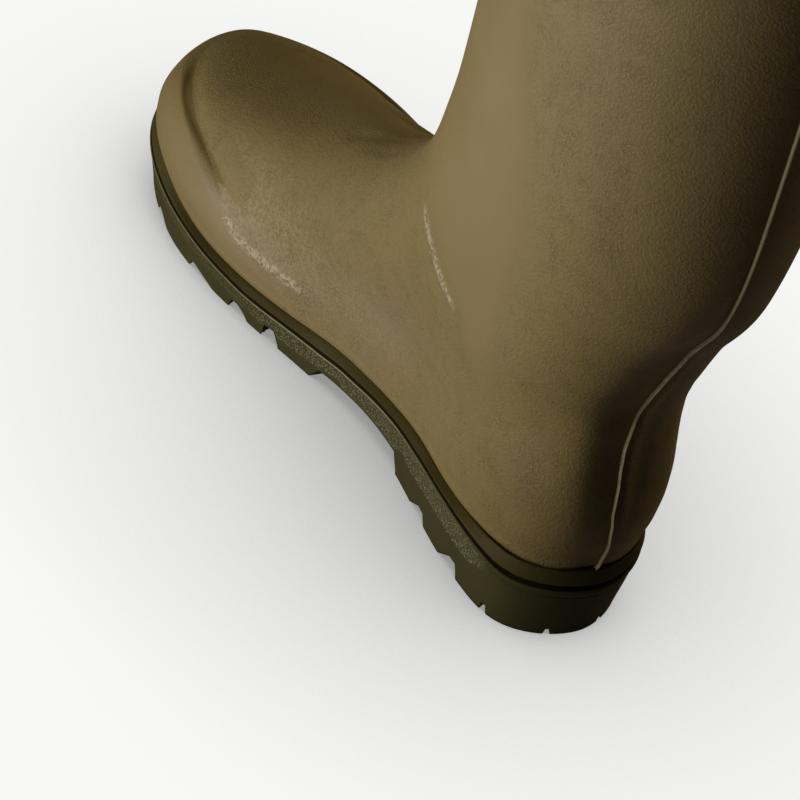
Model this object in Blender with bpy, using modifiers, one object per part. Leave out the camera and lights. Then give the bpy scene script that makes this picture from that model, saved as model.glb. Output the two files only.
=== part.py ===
"""Right wellington boot: lugged outsole, rand, hollow upper, toe guard and insole.

Metres, +Z up, toe towards -Y, inner (medial) side of the foot towards +X.  The
tables are in millimetres with the back of the heel at y = 0 and the floor at
z = 0; the last step centres the boot over the origin.
"""
import bmesh
import bpy
import numpy as np

MM = 0.001

# Driving sizes, millimetres
SOLE_LENGTH = 298.0
WALL = 4.6
GAP = 0.3
WELT = 4.0
INSOLE_THICK = 4.0
INSOLE_CLEAR = 1.2
RAND_TOP = 0.70
GUARD_FOOT = 0.76
GUARD_THICK = 1.5
GUARD_THIN = 0.7
GROOVE_FLAT = 7.0
GROOVE_RAMP = 3.0

# Mesh counts
AROUND = 64
SOLE_STATIONS = 32

# Plan of the sole at the rand line: share of the length from the heel, x of the
# medial edge, x of the lateral edge
PLAN = (
    (0.012, 15.9, -14.0),
    (0.050, 29.2, -28.0),
    (0.120, 34.3, -37.0),
    (0.200, 34.7, -40.0),
    (0.300, 32.6, -41.5),
    (0.400, 32.4, -44.5),
    (0.500, 38.0, -49.4),
    (0.600, 47.7, -53.0),
    (0.700, 56.0, -53.3),
    (0.800, 59.3, -48.7),
    (0.880, 57.6, -38.6),
    (0.945, 49.1, -22.5),
    (0.985, 32.7, -3.7),
)
TOE_X = 13.0

# Heights along the sole: share of the length, height of its top edge, of its foot
SOLE_HEIGHTS = (
    (0.00, 27.5, 0.0),
    (0.25, 27.5, 0.0),
    (0.45, 16.8, 0.0),
    (0.70, 13.1, 0.0),
    (0.78, 13.9, 0.2),
    (0.85, 16.8, 2.4),
    (0.93, 22.6, 7.4),
    (1.00, 29.5, 14.5),
)

# Rings of the upper from the feather edge to the collar: centre-back y and z,
# centre-front y and z, medial and lateral half widths of the oval, share of the
# sole's plan in the ring, its width factor at the back and at the front, share of
# the sole's dip, x of the front end, roundness of the back and of the front (1 is
# an ellipse, less is fuller), swell of the heel and lean of the vamp on the lateral side
RINGS = (
    (-4.0, 27.8, -294.0, 29.8, 40.0, 46.0, 1.00, 1.00, 1.000, 1.00, 13.0, 0.80, 1.00, 0.0, 0.0),
    (-1.5, 37.5, -296.5, 40.5, 40.0, 46.0, 1.00, 1.03, 1.020, 1.00, 13.0, 0.78, 1.00, 1.5, 0.0),
    (0.3, 46.0, -294.5, 49.5, 38.0, 46.0, 0.94, 1.05, 1.010, 0.96, 13.0, 0.74, 1.00, 3.5, 1.5),
    (0.5, 53.0, -288.0, 56.5, 37.0, 46.0, 0.85, 1.06, 0.980, 0.88, 12.0, 0.71, 1.00, 4.8, 4.0),
    (-0.5, 60.0, -275.0, 62.5, 36.6, 45.5, 0.71, 1.08, 0.950, 0.76, 11.0, 0.69, 1.00, 5.4, 6.5),
    (-2.0, 66.5, -255.0, 68.5, 36.5, 45.0, 0.52, 1.10, 0.925, 0.60, 9.0, 0.68, 1.00, 5.6, 8.0),
    (-4.0, 73.0, -232.0, 75.5, 36.5, 44.5, 0.33, 1.11, 0.910, 0.44, 7.5, 0.68, 1.00, 5.6, 8.0),
    (-5.5, 80.0, -209.0, 83.0, 36.8, 44.0, 0.16, 1.12, 0.900, 0.28, 6.0, 0.69, 1.00, 5.4, 7.0),
    (-6.3, 88.0, -188.0, 90.5, 37.6, 43.5, 0.05, 1.12, 0.900, 0.14, 5.0, 0.71, 1.00, 5.0, 5.5),
    (-6.0, 97.0, -169.0, 98.5, 39.0, 43.0, 0.00, 1.12, 0.900, 0.05, 4.0, 0.74, 0.98, 4.2, 4.0),
    (-3.8, 107.0, -152.5, 110.5, 40.8, 43.0, 0.00, 1.10, 0.900, 0.00, 3.0, 0.77, 0.96, 3.0, 2.0),
    (0.8, 119.0, -142.0, 128.0, 43.0, 44.0, 0.00, 1.10, 0.900, 0.00, 2.0, 0.81, 0.95, 1.5, 0.6),
    (7.5, 136.0, -136.0, 150.0, 46.0, 46.5, 0.00, 1.10, 0.900, 0.00, 1.0, 0.86, 0.95, 0.4, 0.0),
    (22.0, 165.0, -132.5, 182.0, 49.5, 50.0, 0.00, 1.10, 0.900, 0.00, 0.0, 0.91, 0.96, 0.0, 0.0),
    (28.5, 215.0, -130.0, 232.0, 53.5, 54.0, 0.00, 1.10, 0.900, 0.00, 0.0, 0.95, 0.98, 0.0, 0.0),
    (29.5, 295.0, -127.5, 304.0, 57.0, 57.0, 0.00, 1.10, 0.900, 0.00, 0.0, 0.98, 1.00, 0.0, 0.0),
    (28.0, 400.0, -126.5, 400.0, 58.0, 58.0, 0.00, 1.10, 0.900, 0.00, 0.0, 1.00, 1.00, 0.0, 0.0),
)

# Levels of the upper that get a ring of faces
LEVELS = np.concatenate((np.linspace(0.0, 4.0, 8, endpoint=False), np.linspace(4.0, 13.0, 15),
                         (13.6, 14.2, 15.0, 16.0)))

# Undercut of the sole wall: share of the length, how far its foot stands in
SIDE_TAPER = ((0.0, 4.6), (0.30, 4.6), (0.50, 2.0), (0.75, 2.0), (0.90, 4.0), (1.0, 5.5))

# Chevron grooves: station of the front wall and of the ramp's end at the edges,
# station of the front wall in the middle, depth at the edges, depth inside
GROOVES = (
    (0.846, 0.812, 0.930, 2.2, 4.5),
    (0.741, 0.682, 0.836, 2.8, 6.5),
    (0.647, 0.596, 0.742, 3.0, 6.5),
    (0.579, 0.541, 0.664, 3.2, 6.5),
)
CHEVRON_X = 4.0

# Heel notches: stations of the ramp's foot, the ramp's head and the upright face, depth
HEEL_NOTCHES = (
    (0.272, 0.246, 0.229, 4.4),
    (0.181, 0.152, 0.135, 5.8),
)

# Waist between heel breast and last lug: station, edge height, bridge height
WAIST = (
    (0.322, -2.0, -2.0),
    (0.327, 10.2, 4.2),
    (0.390, 9.4, 4.4),
    (0.450, 8.0, 4.2),
    (0.494, 6.6, 3.8),
    (0.513, -2.0, -2.0),
)

# Toe guard: share of the length, level of its upper edge
GUARD_EDGE = ((0.560, 1.05), (0.620, 1.42), (0.665, 1.65), (0.700, 2.00), (0.735, 2.60),
              (0.780, 3.00), (0.840, 3.28), (0.900, 3.36), (0.950, 3.22), (1.000, 3.00))


def ease(rows, column, at):
    """Smooth curve with no overshoot through one column of a table, against its first column."""
    knots = np.array([row[0] for row in rows], float)
    values = np.array([row[column] for row in rows], float)
    step = np.diff(knots)
    rise = np.diff(values) / step
    slope = np.zeros(len(knots))
    same = rise[:-1] * rise[1:] > 0
    before = 2 * step[1:] + step[:-1]
    after = step[1:] + 2 * step[:-1]
    safe = np.where(same, rise[:-1], 1.0), np.where(same, rise[1:], 1.0)
    slope[1:-1] = np.where(same, (before + after) / (before / safe[0] + after / safe[1]), 0.0)
    slope[0] = rise[0]
    slope[-1] = rise[-1]
    at = np.clip(np.asarray(at, float), knots[0], knots[-1])
    i = np.clip(np.searchsorted(knots, at, side="right") - 1, 0, len(knots) - 2)
    u = (at - knots[i]) / step[i]
    return (values[i] * (1 + 2 * u) * (1 - u) ** 2 + slope[i] * step[i] * u * (1 - u) ** 2
            + values[i + 1] * u * u * (3 - 2 * u) - slope[i + 1] * step[i] * u * u * (1 - u))


def plan_knots():
    """Angles and x of the plan: angle 0 at the heel back, pi at the toe, medial side first."""
    share = np.array([row[0] for row in PLAN])
    angle = np.arccos(1 - 2 * share)
    medial = np.array([row[1] for row in PLAN])
    lateral = np.array([row[2] for row in PLAN])
    angles = np.concatenate(([0.0], angle, [np.pi], 2 * np.pi - angle[::-1]))
    return angles, np.concatenate(([0.0], medial, [TOE_X], lateral[::-1]))


def ring_spline(angles, values):
    """Second derivatives of the closed cubic spline through the values at the angles."""
    count = len(angles)
    step = np.diff(np.append(angles, angles[0] + 2 * np.pi))
    rise = (np.roll(values, -1) - values) / step
    system = np.zeros((count, count))
    for i in range(count):
        system[i, i - 1] = step[i - 1]
        system[i, i] = 2 * (step[i - 1] + step[i])
        system[i, (i + 1) % count] = step[i]
    return np.linalg.solve(system, 6 * (rise - np.roll(rise, 1)))


PLAN_ANGLES, PLAN_X = plan_knots()
PLAN_BEND = ring_spline(PLAN_ANGLES, PLAN_X)


def plan_x(phi):
    """x of the sole's plan at each angle."""
    phi = np.mod(phi, 2 * np.pi)
    ends = np.append(PLAN_ANGLES, 2 * np.pi)
    i = np.clip(np.searchsorted(ends, phi, side="right") - 1, 0, len(PLAN_ANGLES) - 1)
    j = (i + 1) % len(PLAN_ANGLES)
    step = ends[i + 1] - ends[i]
    a = (ends[i + 1] - phi) / step
    b = 1 - a
    bend = ((a ** 3 - a) * PLAN_BEND[i] + (b ** 3 - b) * PLAN_BEND[j]) * step ** 2 / 6
    return a * PLAN_X[i] + b * PLAN_X[j] + bend


def plan(phi, inset=0.0):
    """Plan of the sole at each angle, moved inwards by inset: x and y."""
    phi = np.asarray(phi, float)
    half = 0.5 * SOLE_LENGTH
    d = 0.002
    along = np.stack((plan_x(phi + d) - plan_x(phi - d),
                      half * (np.cos(phi + d) - np.cos(phi - d))), -1)
    along /= np.linalg.norm(along, axis=-1, keepdims=True)
    x = plan_x(phi) + inset * along[..., 1]
    y = half * (np.cos(phi) - 1) - inset * along[..., 0]
    return x, y


def station(y):
    """Share of the sole's length at y."""
    return np.clip(-y / SOLE_LENGTH, 0.0, 1.0)


def sole_top(share):
    return ease(SOLE_HEIGHTS, 1, share)


def sole_foot(share):
    return ease(SOLE_HEIGHTS, 2, share)


def upper_points(phi, level):
    """Outer face of the upper at angle phi round the foot and level up the boot, in millimetres."""
    phi, level = np.broadcast_arrays(np.asarray(phi, float), np.asarray(level, float))
    rows = [(i,) + row for i, row in enumerate(RINGS)]
    (back_y, back_z, front_y, front_z, medial, lateral, share, back_width, front_width, dip, front_x,
     back_round, front_round, swell, lean) = [ease(rows, column, level) for column in range(1, 16)]
    sole_x, sole_y = plan(phi, WELT)
    sole_s = (sole_y + WELT) / (2 * WELT - SOLE_LENGTH)
    oval_s = 0.5 * (1 - np.cos(phi))
    s = share * sole_s + (1 - share) * oval_s
    forward = np.clip(s / 0.6, 0.0, 1.0)
    forward = forward * forward * (3 - 2 * forward)
    width = back_width + (front_width - back_width) * forward
    side = np.sin(phi)
    power = np.where(np.cos(phi) > 0, back_round, front_round)
    reach = np.where(side > 0, medial, lateral) * np.sign(side) * np.abs(side) ** power
    x = share * sole_x * width + (1 - share) * (reach + front_x * s ** 2)
    x += np.clip(-side, 0.0, 1.0) * (lean * forward - swell * (1 - forward))
    y = back_y + s * (front_y - back_y)
    ends = sole_top(0.0) + s * (sole_top(1.0) - sole_top(0.0))
    z = back_z + s * (front_z - back_z) + dip * (sole_top(station(y)) - ends)
    return np.stack((x, y, z), -1)


def upper_normals(phi, level):
    """Outward unit normals of the upper's outer face."""
    d = 0.004
    level = np.clip(level, d, len(RINGS) - 1 - d)
    across = upper_points(phi + d, level) - upper_points(phi - d, level)
    rise = upper_points(phi, level + d) - upper_points(phi, level - d)
    normal = np.cross(rise, across)
    return normal / np.linalg.norm(normal, axis=-1, keepdims=True)


def clear_file():
    for thing in list(bpy.data.objects):
        bpy.data.objects.remove(thing)
    for group in list(bpy.data.collections):
        bpy.data.collections.remove(group)


def make_collection(name):
    group = bpy.data.collections.new(name)
    bpy.context.scene.collection.children.link(group)
    return group


def make_material(name, colour, roughness):
    material = bpy.data.materials.new(name)
    material.use_nodes = True
    shader = material.node_tree.nodes["Principled BSDF"]
    shader.inputs["Base Color"].default_value = colour + (1.0,)
    shader.inputs["Roughness"].default_value = roughness
    return material


def loft(name, rings, group, material=None, closed=False, caps=True):
    """Skin over rings of points (rings, points, 3): closed joins the last ring to the first."""
    count, points = rings.shape[:2]
    last = count if closed else count - 1
    faces = []
    for i in range(last):
        a = i * points
        b = ((i + 1) % count) * points
        for j in range(points):
            k = (j + 1) % points
            faces.append((a + j, a + k, b + k, b + j))
    if caps and not closed:
        faces.append(tuple(range(points - 1, -1, -1)))
        faces.append(tuple(range((count - 1) * points, count * points)))
    mesh = bpy.data.meshes.new(name)
    mesh.from_pydata((rings.reshape(-1, 3) * MM).tolist(), [], faces)
    mesh.update()
    thing = bpy.data.objects.new(name, mesh)
    group.objects.link(thing)
    if material is not None:
        mesh.materials.append(material)
    tidy(mesh)
    return thing


def tidy(mesh):
    """Joins points that coincide at the ends of a loft and turns the faces outwards."""
    work = bmesh.new()
    work.from_mesh(mesh)
    bmesh.ops.remove_doubles(work, verts=work.verts, dist=0.00002)
    bmesh.ops.dissolve_degenerate(work, edges=work.edges, dist=0.00002)
    bmesh.ops.recalc_face_normals(work, faces=work.faces)
    work.to_mesh(mesh)
    work.free()


def cut(thing, cutter):
    """Takes the cutter away from the solid."""
    step = thing.modifiers.new(cutter.name, "BOOLEAN")
    step.operation = "DIFFERENCE"
    step.solver = "EXACT"
    step.object = cutter
    cutter.hide_render = True
    cutter.display_type = "WIRE"


def cross_rows(inset_foot, inset_head, foot, head, across, sides):
    """Cross sections of a plate under the foot, from heel to toe: foot and head are heights by station."""
    half_turn = np.linspace(0.0, np.pi, SOLE_STATIONS + 1)
    rows = []
    for phi in half_turn:
        low = [plan(p, inset_foot(p)) for p in (-phi, phi)]
        high = [plan(p, inset_head(p)) for p in (phi, -phi)]
        ring = [(low[0], low[1], u, 0.0) for u in across]
        ring += [(low[1], high[0], u, u) for u in sides]
        ring += [(high[0], high[1], u, 1.0) for u in across]
        ring += [(high[1], low[0], u, 1.0 - u) for u in sides]
        points = []
        for start, end, u, rise in ring:
            x = start[0] + u * (end[0] - start[0])
            y = start[1] + u * (end[1] - start[1])
            share = station(y)
            points.append((x, y, foot(share) + rise * (head(share) - foot(share))))
        rows.append(points)
    return np.array(rows)


def side_taper(phi):
    """How far the foot of the sole wall stands in from its head."""
    share = 0.5 * (1 - np.cos(phi))
    return ease(SIDE_TAPER, 1, share)


def groove_cutter(name, edge, ramp_end, middle, shallow, deep, group):
    """Chevron groove with its point to the toe: a shallow ramp at both edges, deep between."""
    edge_x = 56.0
    rings = []
    for x in (72.0, edge_x, 42.0, CHEVRON_X, -42.0, -edge_x, -72.0):
        inward = np.clip((edge_x - abs(x)) / (edge_x - CHEVRON_X), 0.0, 1.0)
        inside = np.clip((edge_x - abs(x)) / 14.0, 0.0, 1.0)
        front = -SOLE_LENGTH * (edge + (middle - edge) * inward)
        flat = 3.0 + (GROOVE_FLAT - 3.0) * inside
        ramp = (edge - ramp_end) * SOLE_LENGTH - 3.0
        ramp += (GROOVE_RAMP - ramp) * inside
        depth = shallow + (deep - shallow) * inside
        rear = front + flat + ramp
        head = float(sole_foot(station(front))) + depth
        foot = float(sole_foot(station(rear)))
        rings.append([(x, rear, foot - 6.0), (x, front, foot - 6.0), (x, front, head),
                      (x, front + flat, head), (x, rear, foot)])
    return loft(name, np.array(rings), group)


def notch_cutter(name, ramp_foot, ramp_head, upright, depth, group):
    """Notch right across the heel: a ramp behind one tooth, an upright face before the next."""
    rings = []
    for x in (-60.0, 60.0):
        rings.append([(x, -ramp_foot * SOLE_LENGTH, 0.0), (x, -ramp_foot * SOLE_LENGTH, -5.0),
                      (x, -upright * SOLE_LENGTH, -5.0), (x, -upright * SOLE_LENGTH, depth),
                      (x, -ramp_head * SOLE_LENGTH, depth)])
    return loft(name, np.array(rings), group)


def waist_cutter(group):
    """Space under the waist, with a flat bridge left along its middle."""
    across = (-70.0, -46.0, -27.0, -17.0, 12.0, 20.0, 34.0, 70.0)
    bridge = (0.0, 0.0, 0.35, 1.0, 1.0, 0.35, 0.0, 0.0)
    rings = []
    for share in (0.322, 0.327, 0.36, 0.39, 0.42, 0.45, 0.494, 0.513):
        edge = float(ease(WAIST, 1, share))
        middle = float(ease(WAIST, 2, share))
        y = -share * SOLE_LENGTH
        head = [(x, y, edge + (middle - edge) * part) for x, part in zip(across, bridge)]
        rings.append(head + [(70.0, y, -5.0), (-70.0, y, -5.0)])
    return loft("waist_cut", np.array(rings), group)


def make_outsole(parts, cutters, material):
    across = np.linspace(0.0, 1.0, 6, endpoint=False)
    rings = cross_rows(side_taper, lambda phi: 0.0, sole_foot, sole_top, across, (0.0, 0.55))
    sole = loft("outsole", rings, parts, material)
    cut(sole, waist_cutter(cutters))
    for i, row in enumerate(GROOVES):
        cut(sole, groove_cutter("groove_cut_%d" % (i + 1), *row, cutters))
    for i, row in enumerate(HEEL_NOTCHES):
        cut(sole, notch_cutter("heel_cut_%d" % (i + 1), *row, cutters))
    return sole


def make_insole(parts, material):
    inset = WELT + WALL + INSOLE_CLEAR
    across = np.linspace(0.0, 1.0, 4, endpoint=False)
    rings = cross_rows(lambda phi: inset, lambda phi: inset,
                       lambda share: sole_top(share) + GAP,
                       lambda share: sole_top(share) + GAP + INSOLE_THICK, across, (0.0,))
    return loft("insole", rings, parts, material)


def make_upper(parts, material):
    phi = np.linspace(0.0, 2 * np.pi, AROUND, endpoint=False)
    shell = loft("upper", upper_points(phi[None, :], LEVELS[:, None]), parts, material, caps=False)
    wall = shell.modifiers.new("wall", "SOLIDIFY")
    wall.thickness = WALL * MM
    wall.offset = -1.0
    wall.use_even_offset = True
    return shell


def make_rand(parts, material):
    """Band round the foot of the upper, from its own surface: thick at the sole, thin at its top edge."""
    phi = np.linspace(0.0, 2 * np.pi, AROUND, endpoint=False)
    section = ((0.0, GAP), (0.24, GAP), (0.48, GAP), (RAND_TOP, GAP),
               (RAND_TOP, 0.9), (0.62, 1.9), (0.35, 2.9), (0.0, WELT - 0.5))
    rings = []
    for level, off in section:
        normal = upper_normals(phi, level) * (1.0, 1.0, 0.0)
        normal /= np.linalg.norm(normal, axis=-1, keepdims=True)
        inner = upper_points(phi, level)
        ring = inner + off * normal
        ring[:, 2] += sole_top(station(ring[:, 1])) - sole_top(station(inner[:, 1]))
        rings.append(ring)
    return loft("rand", np.array(rings).transpose(1, 0, 2), parts, material, closed=True)


def make_toe_guard(parts, material):
    """Overlay round the toe between two faces drawn from the upper's own function."""
    reach = np.arccos(1 - 2 * GUARD_EDGE[0][0])
    phi = np.linspace(0.0, 2 * np.pi, AROUND, endpoint=False)
    phi = phi[np.abs(phi - np.pi) < np.pi - reach]
    edge = ease(GUARD_EDGE, 1, 0.5 * (1 - np.cos(phi)))
    full = np.clip((edge - 1.6) / 1.4, 0.0, 1.0)
    thick = GUARD_THIN + (GUARD_THICK - GUARD_THIN) * full * full * (3 - 2 * full)
    inside = [(share, 0.0) for share in np.linspace(0.0, 1.0, 8)]
    outside = [(1.0, 0.45), (0.95, 0.9), (0.80, 1.0), (0.60, 1.0), (0.40, 1.0), (0.20, 1.0), (0.0, 0.8)]
    rings = []
    for share, off in inside + outside:
        level = GUARD_FOOT + share * (edge - GUARD_FOOT)
        offset = (GAP + 0.1 + off * thick)[:, None]
        rings.append(upper_points(phi, level) + offset * upper_normals(phi, level))
    return loft("toe_guard", np.array(rings).transpose(1, 0, 2), parts, material)


def stand_over_origin(things):
    """Moves every mesh so that the boot's box is centred over the origin with its foot at z = 0."""
    solid = [thing for thing in things if thing.name == "outsole" or thing.name in ("upper", "rand")]
    points = np.array([v.co for thing in solid for v in thing.data.vertices])
    low = points.min(axis=0)
    high = points.max(axis=0)
    shift = np.array((0.5 * (low[0] + high[0]), 0.5 * (low[1] + high[1]), low[2]))
    for thing in things:
        for v in thing.data.vertices:
            v.co = np.array(v.co) - shift
        thing.data.update()
    return shift


clear_file()
PARTS = make_collection("wellington_boot")
CUTTERS = make_collection("cutters")
RUBBER = make_material("olive_rubber", (0.19, 0.155, 0.075), 0.55)
BAND = make_material("olive_rubber_band", (0.10, 0.09, 0.045), 0.45)
TREAD = make_material("olive_sole_rubber", (0.12, 0.11, 0.06), 0.6)
FABRIC = make_material("footbed_fabric", (0.04, 0.04, 0.042), 0.9)
make_outsole(PARTS, CUTTERS, TREAD)
make_rand(PARTS, BAND)
make_upper(PARTS, RUBBER)
make_toe_guard(PARTS, RUBBER)
make_insole(PARTS, FABRIC)
SHIFT = stand_over_origin(list(PARTS.objects) + list(CUTTERS.objects))
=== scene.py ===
"""Looks of a right wellington boot in olive rubber with a fabric lining.

The tables are in millimetres with the back of the heel at y = 0, the toe towards -y, the inner
side of the foot towards +x and the floor at z = 0; ORIGIN brings them into the frame of the model.
"""

import bmesh
import bpy
import numpy as np
from mathutils import Matrix, Vector


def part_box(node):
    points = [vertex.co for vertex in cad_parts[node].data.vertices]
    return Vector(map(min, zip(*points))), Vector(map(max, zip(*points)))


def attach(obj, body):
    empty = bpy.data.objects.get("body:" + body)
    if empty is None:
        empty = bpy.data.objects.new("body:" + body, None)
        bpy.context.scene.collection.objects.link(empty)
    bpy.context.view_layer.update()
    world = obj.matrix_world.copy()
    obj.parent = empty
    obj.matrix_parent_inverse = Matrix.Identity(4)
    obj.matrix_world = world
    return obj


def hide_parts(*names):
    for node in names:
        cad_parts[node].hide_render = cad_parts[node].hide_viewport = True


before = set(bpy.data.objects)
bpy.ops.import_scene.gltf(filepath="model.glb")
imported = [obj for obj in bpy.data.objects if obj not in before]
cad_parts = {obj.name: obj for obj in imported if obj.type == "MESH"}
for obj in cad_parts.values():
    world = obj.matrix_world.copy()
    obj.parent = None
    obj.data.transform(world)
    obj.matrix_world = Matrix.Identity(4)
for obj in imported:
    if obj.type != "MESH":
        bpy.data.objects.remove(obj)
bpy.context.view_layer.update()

# Place of the tables in the model: metres per millimetre, x of the middle, y of the heel's back
MM = 0.001
MIDDLE_X = 0.667
HEEL_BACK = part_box("outsole")[1][1] / MM
ORIGIN = np.array((MIDDLE_X, -HEEL_BACK, 0.0))

# Driving sizes, millimetres
SOLE_LENGTH = 298.0
WALL = 4.6
RUBBER_WALL = 2.2
LINING_GAP = 0.1
WELT = 4.0
GAP = 0.3
GUARD_THIN = 0.7
GUARD_THICK = 1.6
GUARD_LIP = 10.0
GUARD_LIP_LESS = 2.6
GUARD_TUCK = 0.2
GUARD_UNDER = 0.8
RAND_STAND = 0.45
INSOLE_THICK = 4.0
INSOLE_CLEAR = 1.2
INSOLE_EDGE = 2.0
INSOLE_HOLLOW = 1.0
SEAM_HALF = 0.5
SEAM_HIGH = 1.45

# Levels up the upper: foot of the rand, the guard and the seam, the ankle, the lining under the collar
RAND_FOOT = 0.055
GUARD_FOOT = 0.03
SEAM_FOOT = 0.35
ANKLE = 12.0
LINING_LESS = 0.01

# Metres: points closer than this are one, and cloth round the lining
SAME_PLACE = 5e-7
CLOTH_ROUND = 0.36

# Points round each piece
UPPER_ROUND = 336
LINING_ROUND = 160
GUARD_ROUND = 320
RAND_ROUND = 400
SEAM_ROUND = 15

# Rows of the upper: below the ankle, above it, inner face, rounded edge
UPPER_ROWS = (160, 74, 40, 5)

# Rows of the seam: below the ankle, above it
SEAM_ROWS = (170, 90)

# Rows of the lining: outer face, inner face, rounded edge
LINING_ROWS = (40, 130, 4)

# Rows of the toe guard: face, lip
GUARD_ROWS = (50, 18)

# Cross sections from heel to toe, points across and round the edges
SOLE_SECTIONS = 470
TREAD_POINTS = 122
CAP_POINTS = 9
FOOTBED_SECTIONS = 180
FOOTBED_POINTS = 34
FOOTBED_EDGE_POINTS = 6

# Plan of the sole at the rand line: share of the length from the heel, medial x, lateral x
PLAN = (
    (0.012, 15.9, -14.0),
    (0.050, 29.2, -28.0),
    (0.120, 34.3, -37.0),
    (0.200, 34.7, -40.0),
    (0.300, 32.6, -41.5),
    (0.400, 32.4, -44.5),
    (0.500, 38.0, -49.4),
    (0.600, 47.7, -53.0),
    (0.700, 56.0, -53.3),
    (0.800, 59.3, -48.7),
    (0.880, 57.6, -38.6),
    (0.945, 49.1, -22.5),
    (0.985, 32.7, -3.7),
)
TOE_X = 13.0

# Heights along the sole: share of the length, height of its top edge, of its foot
SOLE_HEIGHTS = (
    (0.00, 27.5, 0.0),
    (0.25, 27.5, 0.0),
    (0.45, 16.8, 0.0),
    (0.70, 13.1, 0.0),
    (0.78, 13.9, 0.2),
    (0.85, 16.8, 2.4),
    (0.93, 22.6, 7.4),
    (1.00, 29.5, 14.5),
)

# Rings of the upper from the feather edge to the collar, with the columns that upper_points names
RINGS = (
    (-4.0, 27.8, -294.0, 29.8, 40.0, 46.0, 1.00, 1.00, 1.000, 1.00, 13.0, 0.80, 1.00, 0.0, 0.0),
    (-1.5, 37.5, -296.5, 40.5, 40.0, 46.0, 1.00, 1.03, 1.020, 1.00, 13.0, 0.78, 1.00, 1.5, 0.0),
    (0.3, 46.0, -294.5, 49.5, 38.0, 46.0, 0.94, 1.05, 1.010, 0.96, 13.0, 0.74, 1.00, 3.5, 1.5),
    (0.5, 53.0, -288.0, 56.5, 37.0, 46.0, 0.85, 1.06, 0.980, 0.88, 12.0, 0.71, 1.00, 4.8, 4.0),
    (-0.5, 60.0, -275.0, 62.5, 36.6, 45.5, 0.71, 1.08, 0.950, 0.76, 11.0, 0.69, 1.00, 5.4, 6.5),
    (-2.0, 66.5, -255.0, 68.5, 36.5, 45.0, 0.52, 1.10, 0.925, 0.60, 9.0, 0.68, 1.00, 5.6, 8.0),
    (-4.0, 73.0, -232.0, 75.5, 36.5, 44.5, 0.33, 1.11, 0.910, 0.44, 7.5, 0.68, 1.00, 5.6, 8.0),
    (-5.5, 80.0, -209.0, 83.0, 36.8, 44.0, 0.16, 1.12, 0.900, 0.28, 6.0, 0.69, 1.00, 5.4, 7.0),
    (-6.3, 88.0, -188.0, 90.5, 37.6, 43.5, 0.05, 1.12, 0.900, 0.14, 5.0, 0.71, 1.00, 5.0, 5.5),
    (-6.0, 97.0, -169.0, 98.5, 39.0, 43.0, 0.00, 1.12, 0.900, 0.05, 4.0, 0.74, 0.98, 4.2, 4.0),
    (-3.8, 107.0, -152.5, 110.5, 40.8, 43.0, 0.00, 1.10, 0.900, 0.00, 3.0, 0.77, 0.96, 3.0, 2.0),
    (0.8, 119.0, -142.0, 128.0, 43.0, 44.0, 0.00, 1.10, 0.900, 0.00, 2.0, 0.81, 0.95, 1.5, 0.6),
    (7.5, 136.0, -136.0, 150.0, 46.0, 46.5, 0.00, 1.10, 0.900, 0.00, 1.0, 0.86, 0.95, 0.4, 0.0),
    (22.0, 165.0, -132.5, 182.0, 49.5, 50.0, 0.00, 1.10, 0.900, 0.00, 0.0, 0.91, 0.96, 0.0, 0.0),
    (28.5, 215.0, -130.0, 232.0, 53.5, 54.0, 0.00, 1.10, 0.900, 0.00, 0.0, 0.95, 0.98, 0.0, 0.0),
    (29.5, 295.0, -127.5, 304.0, 57.0, 57.0, 0.00, 1.10, 0.900, 0.00, 0.0, 0.98, 1.00, 0.0, 0.0),
    (28.0, 400.0, -126.5, 400.0, 58.0, 58.0, 0.00, 1.10, 0.900, 0.00, 0.0, 1.00, 1.00, 0.0, 0.0),
)
COLLAR = len(RINGS) - 1.0

# Upper edge of the toe guard: share of the length, level
GUARD_EDGE = ((0.560, 1.05), (0.620, 1.42), (0.665, 1.65), (0.700, 2.00), (0.735, 2.60),
              (0.780, 3.00), (0.840, 3.28), (0.900, 3.36), (0.950, 3.22), (1.000, 3.00))

# Sides of the toe guard: angles where it thins to the toe's tip, and share of it on the lateral side
GUARD_MEDIAL = (168.0, 150.0)
GUARD_LATERAL = (205.0, 228.0)
GUARD_LATERAL_SHARE = 0.6

# Thickness of the toe guard by the level of its edge: where it grows, where its ends grow, share at the ends
GUARD_FULL = (2.0, 3.3)
GUARD_ENDS = (2.0, 2.9)
GUARD_END_SHARE = 0.4

# Trough behind the toe guard's edge: least depth, more beside the toe, levels of its ends, place, half width
TROUGH_LEAST = 0.2
TROUGH_MORE = 0.75
TROUGH_ENDS = (1.5, 2.7)
TROUGH_BACK = 0.5
TROUGH_HALF = 3.8

# Bead over the rand: height, levels over the rand's edge, millimetres to a level, half width
BEAD_HIGH = 0.35
BEAD_UP = 0.14
BEAD_LEVEL = 9.5
BEAD_HALF = 1.3

# Rand: share of the length, level of its upper edge, lift of the sole's top edge over its even line
RAND_EDGE = (
    (0.00, 0.54, -0.9),
    (0.03, 0.58, -0.8),
    (0.06, 0.56, -0.3),
    (0.10, 0.42, 0.4),
    (0.16, 0.27, 0.6),
    (0.22, 0.17, 0.0),
    (0.28, 0.12, -1.3),
    (0.34, 0.16, -0.7),
    (0.40, 0.28, 0.1),
    (0.45, 0.34, 0.2),
    (0.50, 0.28, -0.8),
    (0.56, 0.16, -1.0),
    (0.62, 0.12, -1.3),
    (0.68, 0.14, -0.3),
    (0.74, 0.20, 0.6),
    (0.80, 0.38, 1.2),
    (0.87, 0.62, 1.2),
    (1.00, 0.72, 1.0),
)

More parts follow.
